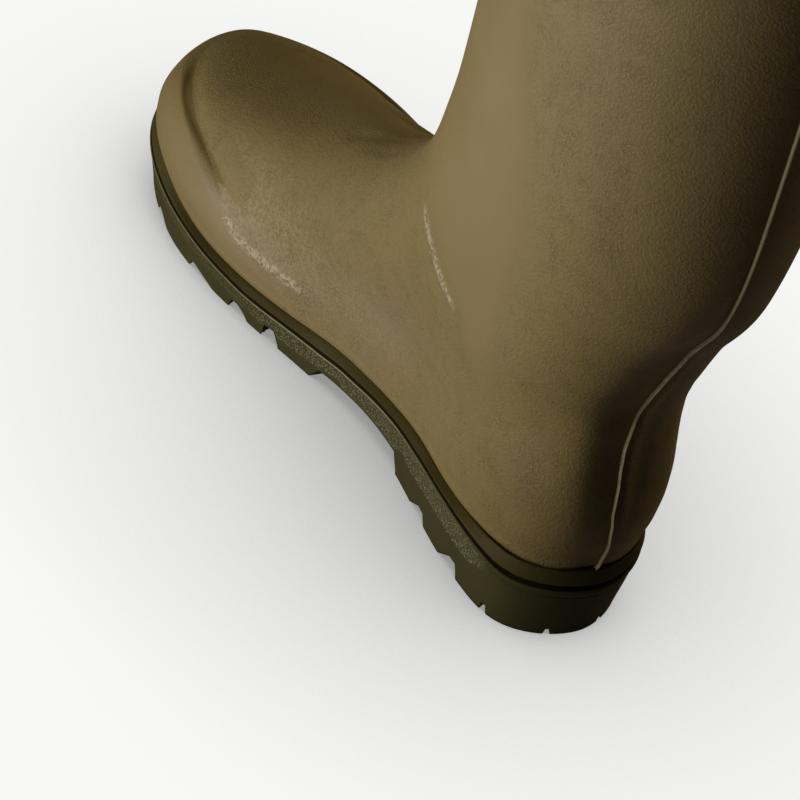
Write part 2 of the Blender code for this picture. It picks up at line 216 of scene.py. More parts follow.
# Section of the rand: share of the way from the sole's top to the rand's edge, outward offset
RAND_SECTION = np.array((
    (0.5, -0.6), (1.0, -0.6), (1.0, 0.02), (0.995, 0.22), (0.985, 0.40), (0.95, 0.62), (0.88, 0.90),
    (0.76, 1.35), (0.62, 1.85), (0.48, 2.32), (0.35, 2.72), (0.24, 3.05), (0.15, 3.28), (0.08, 3.42),
    (0.03, 3.42), (0.0, 3.28), (-0.02, 3.0), (-0.02, 1.8), (-0.02, 0.4), (-0.02, -0.6)))

# Gap behind the rand at the heel: row of the section, share it sinks, shares of the length where it closes
RAND_GAP_ROW = 2
RAND_GAP = 0.35
RAND_GAP_ENDS = (0.10, 0.03)

# Undercut of the sole wall: share of the length, how far its foot stands in
SIDE_TAPER = ((0.0, 4.6), (0.30, 4.6), (0.50, 2.0), (0.75, 2.0), (0.90, 4.0), (1.0, 5.5))

# Wall of the sole: share of the length, heights of groove and lip, depth of line, foot of strip, paleness of
# the painted highlight on the lip
WALL_ZONES = (
    (0.000, 2.3, 3.2, 0.60, 7.2, 0.00),
    (0.040, 2.2, 3.0, 0.60, 7.0, 0.00),
    (0.090, 1.2, 1.8, 0.30, 9.5, 0.00),
    (0.110, 0.9, 1.2, 0.10, 12.6, 0.05),
    (0.140, 0.7, 0.9, 0.00, 13.2, 0.10),
    (0.200, 0.42, 0.7, 0.00, 12.4, 0.25),
    (0.276, 0.38, 0.7, 0.00, 12.2, 0.40),
    (0.306, 0.38, 0.7, 0.00, 9.6, 0.60),
    (0.335, 0.38, 0.8, 0.00, 13.0, 0.90),
    (0.413, 0.38, 0.8, 0.00, 12.0, 1.00),
    (0.445, 0.36, 0.8, 0.00, 8.6, 1.00),
    (0.470, 0.36, 0.8, 0.00, 6.6, 1.00),
    (0.500, 0.32, 0.8, 0.00, 7.7, 1.00),
    (0.550, 0.30, 0.8, 0.00, 8.6, 1.00),
    (0.620, 0.28, 0.7, 0.00, 7.0, 0.80),
    (0.750, 0.28, 0.7, 0.00, 5.6, 0.60),
    (1.000, 0.28, 0.7, 0.00, 5.2, 0.40),
)

# Wall of the sole, millimetres: inset, groove, groove's slope, lip, height of line, strip, foot, least foot
WALL_INSET = 0.25
GROOVE_INSET = 0.1
GROOVE_SLOPE = 1.25
LIP_ARCH = 0.42
LINE_HIGH = 0.6
STRIP_INSET = 0.25
FOOT_OUT = 0.15
FOOT_LEAST = 0.8

# Shares of the length where the stipple begins and is full, where it thins and is thin, and how much it thins
STIPPLE_ENDS = (0.066, 0.102)
STIPPLE_THINS = (0.57, 0.66)
STIPPLE_LOSS = 0.7

# Chevron grooves: stations of front wall and ramp's end at the edges, of the middle, depths there and inside
GROOVES = (
    (0.846, 0.812, 0.930, 2.2, 4.5),
    (0.741, 0.682, 0.836, 2.8, 6.5),
    (0.647, 0.596, 0.742, 3.0, 6.5),
    (0.579, 0.541, 0.664, 3.2, 6.5),
)
GROOVE_FLAT = 7.0
GROOVE_EDGE_FLAT = 3.0
GROOVE_RAMP = 3.0
GROOVE_INSIDE = 14.0
CHEVRON_X = 4.0
CHEVRON_EDGE = 56.0

# Heel notches: stations of the ramp's foot, the ramp's head and the upright face, depth
HEEL_NOTCHES = (
    (0.272, 0.246, 0.229, 4.4),
    (0.181, 0.152, 0.135, 5.8),
)

# Waist between heel breast and last lug: station, edge height, bridge height
WAIST = (
    (0.327, 10.2, 4.2),
    (0.390, 9.4, 4.4),
    (0.450, 8.0, 4.2),
    (0.494, 6.6, 3.8),
)
WAIST_BREAST = (0.3215, 0.3265)
WAIST_END = 0.513
WAIST_FADE = 0.019
BRIDGE = ((-70.0, 0.0), (-46.0, 0.0), (-27.0, 0.35), (-17.0, 1.0), (12.0, 1.0), (20.0, 0.35),
          (34.0, 0.0), (70.0, 0.0))

# Slits in the tread, running lengthwise: first station, last station, x, width, depth
SLITS = (
    (0.565, 0.800, 27.0, 2.0, 2.4),
    (0.565, 0.800, -26.0, 2.0, 2.4),
    (0.070, 0.300, 12.0, 2.0, 2.2),
    (0.070, 0.300, -15.0, 2.0, 2.2),
)

# Slots round the back of the heel: angle from the centre back, width, depth
HEEL_SLOTS = ((62.0, 2.4, 3.2), (-62.0, 2.4, 3.2), (20.0, 2.0, 2.4), (-20.0, 2.0, 2.4))
HEEL_CENTRE = (-2.0, -38.0)
SLOT_START = (22.0, 24.0)

# Fine ribs across the toe: pitch, depth, stations where they begin
RIB_PITCH = 3.6
RIB_DEEP = 0.8
RIB_START = (0.945, 0.955)

# Soft edge of slits and slots, and share of the length over which slits end
CUT_EDGE = 0.4
CUT_END = 0.006

# Line of painted shade in the groove behind the toe guard's upper edge on the medial side: angle, level
GUARD_SHADE_LINE = ((162, 2.82), (154.5, 3.0), (147, 2.98), (141, 3.02), (135.5, 3.08), (131.5, 3.10),
              (127.5, 3.06), (124, 2.96), (121.5, 2.86), (118.5, 2.64), (116.5, 2.42), (114.6, 2.2),
              (112.6, 1.96))

# Folds of the upper: half width, height (trough below 0), paler rubbing with painted highlight on the crests
# (painted shade below 0), points (angle, level) along it
FOLDS = (
    (11.0, -1.5, 0.0, ((2, 8.4), (4, 9.6), (5, 10.6), (4, 11.5), (2, 12.4), (0, 13.4))),
    (9.5, -3.0, 0.0, ((2, -4.5), (1.5, 3.0), (0.5, 6.0), (1.2, 8.6), (1.5, 10.2), (0, 11.4),
                      (-1, 12.6), (0, 13.8))),
    (20.0, -1.3, 0.0, ((33, -4.5), (32, 1.5), (31, 4.0), (31, 6.5), (32, 8.5), (34, 10.5))),
    # Painted shade along the groove behind the toe guard's edge, on both sides
    (1.3, -0.60, -1.5, GUARD_SHADE_LINE),
    (1.3, -0.60, -1.2, tuple((360 - angle, level) for angle, level in GUARD_SHADE_LINE)),
    (3.0, -0.8, 0.0, ((-2.5, 0.2), (-3.2, 1.3), (-1, 3.5), (-1, 8.2), (-1.5, 9.3), (-2.5, 10.15),
                      (-3, 10.8), (-4, 11.4), (-5, 12.0), (-4, 12.6), (-2, 13.2), (-1, 14.0), (0, 15.9))),
    # On these four ridges the paler rubbing on the crests is a painted highlight
    (2.7, 0.60, 2.4, ((115, 2.0), (113, 1.82), (110, 1.58), (105.5, 1.51), (101, 1.53),
                      (97, 1.55), (93.5, 1.56))),
    (2.2, 0.55, 0.6, ((240, 2.6), (246, 1.9), (250, 1.52), (254.5, 1.50), (261, 1.54),
                      (267, 1.56), (273, 1.52))),
    (2.0, 0.60, 2.2, ((121, 10.92), (113, 10.78), (104.5, 10.56), (97, 10.32), (90.5, 10.08),
                      (83, 9.76), (77, 9.5))),
    (1.9, 0.40, 0.5, ((240, 10.9), (248, 10.75), (256, 10.5), (264, 10.3), (271, 10.1), (278, 9.8))),
    (3.6, -0.9, 0.0, ((181, 9.6), (173, 9.25), (169.5, 8.82), (164, 8.34), (159.5, 7.90), (153, 7.4))),
    (12.0, -1.0, 0.0, ((205, 9.9), (188, 9.7), (172, 9.3), (158, 8.9), (146, 8.6))),
    (15.0, -3.4, 0.0, ((226, 5.8), (215, 6.6), (207, 7.3), (200, 8.0), (192, 8.8), (186, 9.4))),
    (1.8, -0.35, 0.0, ((182, 3.93), (188, 4.02), (192, 3.97), (197, 4.06), (202, 4.10), (207, 4.25))),
    (26.0, -1.0, 0.0, ((60, 12.9), (85, 12.6), (110, 12.8), (135, 13.0))),
    (30.0, 0.9, 0.0, ((40, 13.7), (80, 13.4), (120, 13.6))),
    (30.0, -0.9, 0.0, ((230, 13.0), (262, 12.7), (296, 13.0))),
)

# Paths of the folds: points along each, passes of easing, millimetres that a level falls below the face
PATH_POINTS = 90
PATH_PASSES = 3
PATH_DROP = 7.0

# Bells of the folds: half widths that they reach, share of the path over which their ends fade
FOLD_REACH = 2.6
FOLD_FADE = 0.2

# Back seam: level, millimetres from the centre back to the medial side
SEAM_PATH = ((0.0, -0.5), (0.7, -1.6), (1.4, -2.2), (2.6, -1.6), (3.8, -1.3), (5.6, -2.0), (7.6, -2.4),
             (8.6, -2.9), (9.3, -3.6), (10.15, -5.0), (10.8, -5.6), (11.4, -6.6), (11.9, -7.4),
             (12.2, -7.2), (12.6, -5.6), (13.2, -3.2), (14.0, -1.2), (16.0, 0.0))

# Wander of the seam: millimetres, radians to a level, radians at the start
SEAM_WAVES = ((0.12, 1.9, 0.0), (0.06, 5.1, 1.0))

# Width of the seam: least share, share more above the heel and at the ankle, levels of the one and other
SEAM_LEAST = 0.75
SEAM_MORE = 0.45
SEAM_HEEL = (7.5, 2.2)
SEAM_ANKLE = (10.0, 12.0)

# Section of the seam: angle to each of its edges, share of its height at which its sides stand
SEAM_TURN = 0.72 * np.pi
SEAM_SIDE = 0.35

# Rubbing with painted highlight, and painted shade, along the seam: level, half height, amount, and levels
# between which the painted shade at the seam's foot fades
SEAM_RUB_HIGHLIGHT = ((12.0, 1.1, 1.1), (6.6, 1.6, 0.9))
SEAM_PAINTED_SHADE = (9.2, 0.9, 0.8)
SEAM_FOOT_PAINTED_SHADE = (4.4, 1.6)
SEAM_FOOT_PAINTED_SHADE_SHARE = 0.55

# Smooth rubber of the shaft: level and the angle where it begins, then angle and the level where it begins
SMOOTH_BACK = ((7.0, 53.0), (7.6, 55.0), (9.5, 60.0), (11.4, 67.5), (13.2, 72.5), (13.9, 82.5),
               (14.4, 90.0), (16.0, 98.0))
SMOOTH_FOOT = ((45.0, 6.6), (63.0, 7.4), (80.0, 9.7), (116.0, 10.9), (150.0, 11.2), (180.0, 11.4))

# Edges of the smooth rubber in degrees and in levels, and pebbles lost on it
SMOOTH_TURN = (-5.0, 7.0)
SMOOTH_LEVEL = (-0.4, 0.7)
SMOOTH_LOSS = 0.85

# Flex of the forefoot: angle, half width in degrees, level, half width in levels, and the rubbing there, pale
# specks that are partly wear and partly painted glints
FLEX = (112.0, 24.0, 3.4, 2.2)
FLEX_RUB_GLINT = 0.38

# Dusty veil with painted sheen (above 0) and painted shade (below 0): angle (over 180 for the outer side
# only), level, half widths of both, amount
DUST_SHEEN_SHADE = (
    (109, 1.6, 13, 1.3, 1.0),
    (84, 3.6, 15, 3.4, 0.9),
    (68, 10.2, 15, 2.2, 0.5),
    (92, 12.8, 24, 2.2, 0.4),
    (124, 2.0, 20, 1.0, 0.3),
    (28, 3.8, 17, 5.0, -0.85),
    (2, 5.5, 8, 6.5, -1.0),
    (26, 12.4, 26, 2.6, -0.35),
    (152, 5.8, 19, 2.0, -0.65),
    (199, 4.4, 12, 1.4, 0.7),
    (118, 5.6, 12, 1.6, -0.3),
)

# Dusty veil with painted sheen, painted shade, and rubbing with painted highlight on the rubber: colours, how
# far each covers it, depth of creases and height of rubbed places
DUST_SHEEN_COLOUR = (0.275, 0.204, 0.122)
PAINTED_SHADE_COLOUR = (0.102, 0.063, 0.011)
DUST_SHEEN_COVER = 0.5
PAINTED_SHADE_COVER = 0.7
WORN_HIGHLIGHT_COVER = 0.75
CREASE_DEEP = 0.00013
WORN_HIGH = 0.00013

# Sole rubber: dark and light tones of the wall and of the stipple, painted highlight of the lip, painted
# shade of the groove, heights in metres, gloss
SOLE_COLOURS = ((0.039, 0.033, 0.0095), (0.049, 0.042, 0.013))
STIPPLE_COLOURS = ((0.050, 0.044, 0.016), (0.230, 0.208, 0.105))
LIP_HIGHLIGHT_COLOUR = (0.360, 0.325, 0.180)
LIP_HIGHLIGHT_COVER = 0.7
GROOVE_SHADE_COLOUR = (0.012, 0.009, 0.004)
STIPPLE_HIGH = 0.00028
SOLE_GRAIN = 0.00006
SOLE_GLOSS = 0.10

# Fabrics: dark and light tones of the lining and of the footbed
JERSEY_COLOURS = ((0.030, 0.028, 0.024), (0.042, 0.039, 0.033))
FELT_COLOURS = ((0.030, 0.030, 0.031), (0.050, 0.050, 0.051))

# Floor: half its side, metres of soft shade round the boot, colours to the eye away from it and close by
FLOOR_HALF = 6.0
FLOOR_SHADE = 0.16
FLOOR_COLOURS = ((0.94, 0.94, 0.93), (0.30, 0.30, 0.29))

# Soft boxes: name, degrees from +X, rise, metres away, size, watts, colour, whether the rubber mirrors it
SOFT_BOXES = (
    ("inner_box", 2.0, 6.0, 0.6, 0.34, 2.4, (1.0, 1.0, 1.0), True),
    ("inner_front_box", -22.0, 6.0, 0.6, 0.34, 1.35, (1.0, 1.0, 1.0), True),
    ("outer_front_box", -150.0, 6.0, 1.8, 0.60, 19.0, (1.0, 0.9, 0.6), False),
    ("outer_box", 176.0, 8.0, 1.8, 0.60, 4.2, (1.0, 0.72, 0.30), False),
)
BOX_TARGET = (0.0, 0.0, 0.12)

# Small lamp over the collar: place, watts, radius
LAMP_PLACE = (0.0, 0.085, 0.42)
LAMP_POWER = 0.2
LAMP_RADIUS = 0.02

# Strength of the surround: to the boot, to the eye
SURROUND = (0.006, 0.94)


def ease(rows, column, at):
    """Smooth curve with no overshoot through one column of a table, against its first column: cubics
    whose slope at a knot is the weighted harmonic mean of the slopes beside it."""
    knots = np.array([row[0] for row in rows], float)
    values = np.array([row[column] for row in rows], float)
    step = np.diff(knots)
    rise = np.diff(values) / step
    slope = np.zeros(len(knots))
    same = rise[:-1] * rise[1:] > 0
    before = 2 * step[1:] + step[:-1]
    after = step[1:] + 2 * step[:-1]
    safe = np.where(same, rise[:-1], 1.0), np.where(same, rise[1:], 1.0)
    slope[1:-1] = np.where(same, (before + after) / (before / safe[0] + after / safe[1]), 0.0)
    slope[0] = rise[0]
    slope[-1] = rise[-1]
    at = np.clip(np.asarray(at, float), knots[0], knots[-1])
    i = np.clip(np.searchsorted(knots, at, side="right") - 1, 0, len(knots) - 2)
    u = (at - knots[i]) / step[i]
    return (values[i] * (1 + 2 * u) * (1 - u) ** 2 + slope[i] * step[i] * u * (1 - u) ** 2
            + values[i + 1] * u * u * (3 - 2 * u) - slope[i + 1] * step[i] * u * u * (1 - u))


def soft_step(at, start, end):
    """0 before start, 1 after end, and 3u^2 - 2u^3 between."""
    u = np.clip((at - start) / (end - start), 0.0, 1.0)
    return u * u * (3 - 2 * u)


def bell(at, middle, half):
    """Bell curve: 1 at the middle, 1/e at the half width from it."""
    return np.exp(-((at - middle) / half) ** 2)


def plan_knots():
    """Angles and x of the plan: angle 0 at the heel back, pi at the toe, medial side first."""
    share = np.array([row[0] for row in PLAN])
    angle = np.arccos(1 - 2 * share)
    medial = np.array([row[1] for row in PLAN])
    lateral = np.array([row[2] for row in PLAN])
    angles = np.concatenate(([0.0], angle, [np.pi], 2 * np.pi - angle[::-1]))
    return angles, np.concatenate(([0.0], medial, [TOE_X], lateral[::-1]))


def ring_spline(angles, values):
    """Second derivatives of the closed cubic spline through the values at the angles."""
    count = len(angles)
    step = np.diff(np.append(angles, angles[0] + 2 * np.pi))
    rise = (np.roll(values, -1) - values) / step
    system = np.zeros((count, count))
    for i in range(count):
        system[i, i - 1] = step[i - 1]
        system[i, i] = 2 * (step[i - 1] + step[i])
        system[i, (i + 1) % count] = step[i]
    return np.linalg.solve(system, 6 * (rise - np.roll(rise, 1)))


PLAN_ANGLES, PLAN_X = plan_knots()
PLAN_BEND = ring_spline(PLAN_ANGLES, PLAN_X)


def plan_x(phi):
    """x of the sole's plan at each angle, on the closed cubic spline through the plan's rows."""
    phi = np.mod(phi, 2 * np.pi)
    ends = np.append(PLAN_ANGLES, 2 * np.pi)
    i = np.clip(np.searchsorted(ends, phi, side="right") - 1, 0, len(PLAN_ANGLES) - 1)
    j = (i + 1) % len(PLAN_ANGLES)
    step = ends[i + 1] - ends[i]
    a = (ends[i + 1] - phi) / step
    b = 1 - a
    bend = ((a ** 3 - a) * PLAN_BEND[i] + (b ** 3 - b) * PLAN_BEND[j]) * step ** 2 / 6
    return a * PLAN_X[i] + b * PLAN_X[j] + bend


def plan(phi, inset=0.0):
    """Plan of the sole: y is half the length times cos(phi) - 1, x is the spline's, and both are then
    moved inwards by inset along the plan's normal."""
    phi = np.asarray(phi, float)
    half = 0.5 * SOLE_LENGTH
    d = 0.002
    along = np.stack((plan_x(phi + d) - plan_x(phi - d),
                      half * (np.cos(phi + d) - np.cos(phi - d))), -1)
    along /= np.linalg.norm(along, axis=-1, keepdims=True)
    x = plan_x(phi) + inset * along[..., 1]
    y = half * (np.cos(phi) - 1) - inset * along[..., 0]
    return x, y


def station(y):
    """Share of the sole's length at y."""
    return np.clip(-y / SOLE_LENGTH, 0.0, 1.0)


def sole_top(share):
    """Height of the sole's top edge at a share of its length."""
    return ease(SOLE_HEIGHTS, 1, share)


def sole_foot(share):
    """Height of the sole's uncut foot at a share of its length."""
    return ease(SOLE_HEIGHTS, 2, share)


def upper_points(phi, level):
    """Outer face of the upper at angle phi round the foot and level up the boot: a blend of the sole's
    plan and an oval, laid between a back and a front point whose heights follow the sole's dip. A ring's
    columns are y and z of its back and of its front, the oval's medial and lateral half widths, the share
    of the sole's plan, its width at the back and at the front, the share of the dip, x of the front, the
    roundness of back and front, and the heel's swell and the vamp's lean on the lateral side."""
    phi, level = np.broadcast_arrays(np.asarray(phi, float), np.asarray(level, float))
    rows = [(i,) + row for i, row in enumerate(RINGS)]
    (back_y, back_z, front_y, front_z, medial, lateral, share, back_width, front_width, dip, front_x,
     back_round, front_round, swell, lean) = [ease(rows, column, level) for column in range(1, 16)]
    sole_x, sole_y = plan(phi, WELT)
    sole_s = (sole_y + WELT) / (2 * WELT - SOLE_LENGTH)
    oval_s = 0.5 * (1 - np.cos(phi))
    s = share * sole_s + (1 - share) * oval_s
    forward = soft_step(s, 0.0, 0.6)
    width = back_width + (front_width - back_width) * forward
    side = np.sin(phi)
    power = np.where(np.cos(phi) > 0, back_round, front_round)
    reach = np.where(side > 0, medial, lateral) * np.sign(side) * np.abs(side) ** power
    x = share * sole_x * width + (1 - share) * (reach + front_x * s ** 2)
    x += np.clip(-side, 0.0, 1.0) * (lean * forward - swell * (1 - forward))
    y = back_y + s * (front_y - back_y)
    ends = sole_top(0.0) + s * (sole_top(1.0) - sole_top(0.0))
    z = back_z + s * (front_z - back_z) + dip * (sole_top(station(y)) - ends)
    return np.stack((x, y, z), -1)


def upper_normals(phi, level):
    """Outward unit normals of the upper: cross product of its rise and its run, by small differences."""
    d = 0.004
    level = np.clip(level, d, COLLAR - d)
    across = upper_points(phi + d, level) - upper_points(phi - d, level)
    rise = upper_points(phi, level + d) - upper_points(phi, level - d)
    normal = np.cross(rise, across)
    return normal / np.linalg.norm(normal, axis=-1, keepdims=True)


def guard_edge(phi):
    """Level of the toe guard's upper edge at each angle."""
    return ease(GUARD_EDGE, 1, 0.5 * (1 - np.cos(phi)))


def guard_side(phi):
    """1 on the medial side of the toe, falling to 0 over its tip, and back to a share along the lateral
    side."""
    medial = soft_step(phi, *np.radians(GUARD_MEDIAL))
    return medial + GUARD_LATERAL_SHARE * soft_step(phi, *np.radians(GUARD_LATERAL))


def guard_thick(phi):
    """Thickness of the toe guard: thin at its ends and over the toe's tip, full beside it."""
    edge = guard_edge(phi)
    full = soft_step(edge, *GUARD_FULL) * guard_side(phi)
    ends = GUARD_END_SHARE + (1 - GUARD_END_SHARE) * soft_step(edge, *GUARD_ENDS)
    return (GUARD_THIN + (GUARD_THICK - GUARD_THIN) * full) * ends


def level_run(phi, level):
    """Length of one level up the upper's face, by small differences."""
    d = 0.02
    return np.linalg.norm(upper_points(phi, level + d) - upper_points(phi, level - d), axis=-1) / (2 * d)


def fold_path(points):
    """Points along a fold on the upper: straight runs in angle and level, eased by passes of a running
    mean of five, then laid on the outer face, and run on straight down below it where a level is less
    than 0."""
    angle, level = np.array(points, float).T
    at = np.linspace(0.0, len(points) - 1.0, PATH_POINTS)
    angle = np.interp(at, np.arange(len(points)), angle)
    level = np.interp(at, np.arange(len(points)), level)
    for _ in range(PATH_PASSES):
        angle[2:-2] = sum(np.roll(angle, k) for k in range(-2, 3))[2:-2] / 5
        level[2:-2] = sum(np.roll(level, k) for k in range(-2, 3))[2:-2] / 5
    path = upper_points(np.radians(angle), np.maximum(level, 0.0))
    path[:, 2] += PATH_DROP * np.minimum(level, 0.0)
    return path


def near_path(spot, path):
    """Distance of each spot to a path, and how far along it the nearest place is, as a share."""
    gap = np.linalg.norm(spot[:, None, :] - path[None, :, :], axis=-1)
    first = gap.argmin(axis=1)
    gap = gap.min(axis=1)
    along = first.astype(float)
    for step in (-1, 1):
        run = path[np.clip(first + step, 0, len(path) - 1)] - path[first]
        length = np.maximum((run * run).sum(axis=-1), 1e-9)
        share = np.clip(((spot - path[first]) * run).sum(axis=-1) / length, 0.0, 1.0)
        across = np.linalg.norm(spot - path[first] - share[:, None] * run, axis=-1)
        along = np.where(across < gap, first + step * share, along)
        gap = np.minimum(gap, across)
    return gap, along / (len(path) - 1.0)


def folds(points):
    """Height of the folds at each point, and the rubbing with painted highlight on their crests, below 0
    where painted shade lies in a bed: for each fold, its height times a bell of the distance to its path over
    its half width, fading out along the ends of the path."""
    height = np.zeros(points.shape[:-1])
    rub_and_painted_light = np.zeros(points.shape[:-1])
    for half_width, peak, crest_rub_light_shade, path_points in FOLDS:
        path = fold_path(path_points)
        reach = FOLD_REACH * half_width
        near = np.all((points > path.min(0) - reach) & (points < path.max(0) + reach), axis=-1)
        gap, along = near_path(points[near], path)
        fade = soft_step(along, 0.0, FOLD_FADE) * soft_step(1.0 - along, 0.0, FOLD_FADE)
        share = fade * bell(gap, 0.0, half_width)
        height[near] += peak * share
        if crest_rub_light_shade >= 0:
            rub_and_painted_light[near] = np.maximum(rub_and_painted_light[near], crest_rub_light_shade * share ** 2)
        else:
            rub_and_painted_light[near] = np.minimum(rub_and_painted_light[near], crest_rub_light_shade * share)
    return height, rub_and_painted_light


def guard_groove(phi, level):
    """Trough in the upper along the toe guard's upper edge: a bell of the distance behind the edge,
    which is the difference of levels times the length of one level."""
    edge = guard_edge(phi)
    behind = (level - edge) * level_run(phi, edge)
    depth = TROUGH_LEAST + TROUGH_MORE * guard_side(phi)
    return -depth * soft_step(edge, *TROUGH_ENDS) * bell(behind, TROUGH_BACK, TROUGH_HALF)


def foot_bead(phi, level):
    """Low bead of the upper just over the rand: a bell of the distance over the rand's edge."""
    edge = ease(RAND_EDGE, 1, 0.5 * (1 - np.cos(phi)))
    return BEAD_HIGH * np.exp(-((level - edge - BEAD_UP) * BEAD_LEVEL / BEAD_HALF) ** 2)


def skin_points(phi, level, offset=0.0):
    """Outer face of the upper with its folds, moved by offset along its normals, and the rubbing and painted
    light on it.
    """
    points = upper_points(phi, level)
    height, rub_and_painted_light = folds(points)
    height = height + guard_groove(phi, level) + foot_bead(phi, level) + offset
    return points + height[..., None] * upper_normals(phi, level), rub_and_painted_light


def angles_round(count):
    """Angles round the boot, crowded towards the back seam: u - 0.5 sin(u) for u in even steps."""
    u = np.linspace(0.0, 2 * np.pi, count, endpoint=False)
    return u - 0.5 * np.sin(u)


def skin(name, points, material, close_rows=False, close_columns=False, masks=None, uv=None):
    """Mesh over a grid of points (rows, columns, 3) in millimetres: a quad for each cell, and the last
    row or column joined to the first where closed. masks are values at the points, uv metres."""
    rows, columns = points.shape[:2]
    i = np.arange(rows if close_rows else rows - 1)[:, None]
    j = np.arange(columns if close_columns else columns - 1)[None, :]
    corners = [(i + a, j + b) for a, b in ((0, 0), (0, 1), (1, 1), (1, 0))]
    quads = np.stack([(a % rows) * columns + b % columns for a, b in corners], -1).reshape(-1, 4)
    mesh = bpy.data.meshes.new(name)
    mesh.from_pydata(((points.reshape(-1, 3) - ORIGIN) * MM).tolist(), [], quads.tolist())
    mesh.polygons.foreach_set("use_smooth", np.ones(len(quads), bool))
    for mask, values in (masks or {}).items():
        layer = mesh.attributes.new(mask, "FLOAT", "POINT")
        layer.data.foreach_set("value", values.astype(np.float32).ravel())
    if uv is not None:
        spots = np.stack([uv[np.minimum(a, len(uv) - 1), np.minimum(b, uv.shape[1] - 1)]
                          for a, b in corners], 2)
        mesh.uv_layers.new(name="cloth").data.foreach_set("uv", spots.ravel())
    mesh.materials.append(material)
    mesh.update()
    piece = bpy.data.objects.new(name, mesh)
    bpy.context.scene.collection.objects.link(piece)
    return piece


def settle(piece, slot, *nodes):
    """Fixes a piece to the boot and hides the solids that it stands for; slot is not used."""
    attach(piece, "root")
    if nodes:
        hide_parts(*nodes)
    return piece


def join_ends(piece):
    """Joins the points that coincide at the ends of a piece, and turns its faces outwards."""
    work = bmesh.new()
    work.from_mesh(piece.data)
    bmesh.ops.remove_doubles(work, verts=work.verts, dist=SAME_PLACE)
    bmesh.ops.dissolve_degenerate(work, edges=work.edges, dist=SAME_PLACE)
    bmesh.ops.recalc_face_normals(work, faces=work.faces)
    work.to_mesh(piece.data)
    work.free()
    return piece


def gather_ends(values, axis):
    """Values with one more row or column at each end that holds the mean of the end, so that the piece
    closes there in a point."""
    ends = [np.take(values, [k], axis) for k in (0, -1)]
    first, last = [np.broadcast_to(end.mean(axis=1 - axis, keepdims=True), end.shape) for end in ends]
    return np.concatenate((first, values, last), axis)


def rim(outer, inner, count):
    """Rounded edge between two rings of points: a half circle over the line between them, upwards."""
    turn = np.linspace(0.0, np.pi, count + 2)[1:-1, None, None]
    middle = 0.5 * (outer + inner)
    lift = np.zeros_like(outer)
    lift[:, 2] = 0.5 * np.linalg.norm(outer - inner, axis=-1)
    return middle + np.cos(turn) * (outer - middle) + np.sin(turn) * lift


def half_turn(phi):
    """Angle in degrees from the back seam, the same on both sides."""
    return 180.0 - np.abs(180.0 - np.degrees(phi) % 360.0)


def smooth_zone(phi, level):
    """1 on the smooth rubber along the front of the shaft and the ankle, 0 on the grained rest."""
    turn = half_turn(phi)
    return (soft_step(turn - ease(SMOOTH_BACK, 1, level), *SMOOTH_TURN)
            * soft_step(level - ease(SMOOTH_FOOT, 1, turn), *SMOOTH_LEVEL))


def flex_zone(phi, level):
    """Soft patch on both sides of the forefoot, where walking bends the rubber and pale specks stand for wear
    and painted glints: a bell over angle and level."""
    angle, wide, middle, high = FLEX
    return np.exp(-((half_turn(phi) - angle) / wide) ** 2 - ((level - middle) / high) ** 2)


def dust_sheen_shade(phi, level):
    """Sum of the soft patches of dusty veil with painted sheen and of painted shade, each a bell over angle
    and level.
    """
    both_sides = half_turn(phi)
    outer_side = np.degrees(phi) % 360.0
    total = 0.0
    for angle, middle, wide, high, amount in DUST_SHEEN_SHADE:
        turn = outer_side if angle > 180 else both_sides
        total = total + amount * np.exp(-((turn - angle) / wide) ** 2 - ((level - middle) / high) ** 2)
    return total


def make_upper(material):
    """Rubber shell of the upper: its outer face from the feather edge to the collar, a rounded edge,
    and its inner face back down, closed under the feather edge."""
    low_rows, high_rows, inner_rows, rim_rows = UPPER_ROWS
    phi = angles_round(UPPER_ROUND)[None, :]
    low = np.linspace(0.0, ANKLE, low_rows, endpoint=False)
    high = np.linspace(ANKLE, COLLAR, high_rows)
    outer, rub_and_painted_light = skin_points(phi, np.concatenate((low, high))[:, None])
    inner = skin_points(phi, np.linspace(COLLAR, 0.0, inner_rows)[:, None], -RUBBER_WALL)[0]
    points = np.concatenate((outer, rim(outer[-1], inner[0], rim_rows), inner))
    rub_and_painted_light = np.concatenate((rub_and_painted_light, np.zeros((len(points) - len(rub_and_painted_light), rub_and_painted_light.shape[1]))))
    level = np.concatenate((low, high, np.full(len(points) - len(low) - len(high), COLLAR)))[:, None]
    smooth = smooth_zone(phi, level)
    rub_and_painted_light = np.where(rub_and_painted_light < 0.0, rub_and_painted_light, np.maximum(rub_and_painted_light, FLEX_RUB_GLINT * flex_zone(phi, level)))
    masks = {"rub_and_painted_light": np.maximum(rub_and_painted_light, 0.0), "pebble": 1.0 - SMOOTH_LOSS * smooth, "crease": 1.0 - smooth,
             "dust_sheen_shade": dust_sheen_shade(phi, level) + np.minimum(rub_and_painted_light, 0.0)}
    masks = {label: values[::-1] for label, values in masks.items()}
    return skin("upper_rubber", points[::-1], material, close_rows=True, close_columns=True, masks=masks)


def make_lining(material):
    """Fabric lining: the face that meets the rubber, a rounded edge at the collar, and the inner face
    one wall inside the upper, with a cloth map in metres round and up the boot."""
    outer_rows, inner_rows, rim_rows = LINING_ROWS
    phi = angles_round(LINING_ROUND)[None, :]
    top = COLLAR - LINING_LESS
    outer = skin_points(phi, np.linspace(0.0, top, outer_rows)[:, None], -RUBBER_WALL - LINING_GAP)[0]
    inner = skin_points(phi, np.linspace(top, 0.0, inner_rows)[:, None], -WALL)[0]
    points = np.concatenate((outer, rim(outer[-1], inner[0], rim_rows), inner))
    run = np.linalg.norm(np.diff(points, axis=0), axis=-1).mean(axis=1)
    up = np.concatenate(([0.0], np.cumsum(run), [run.sum()]))
    around = np.linspace(0.0, CLOTH_ROUND, points.shape[1] + 1)
    uv = np.stack(np.meshgrid(around, up * MM), -1)
    return skin("lining", points[::-1], material, close_rows=True, close_columns=True, uv=uv[::-1])


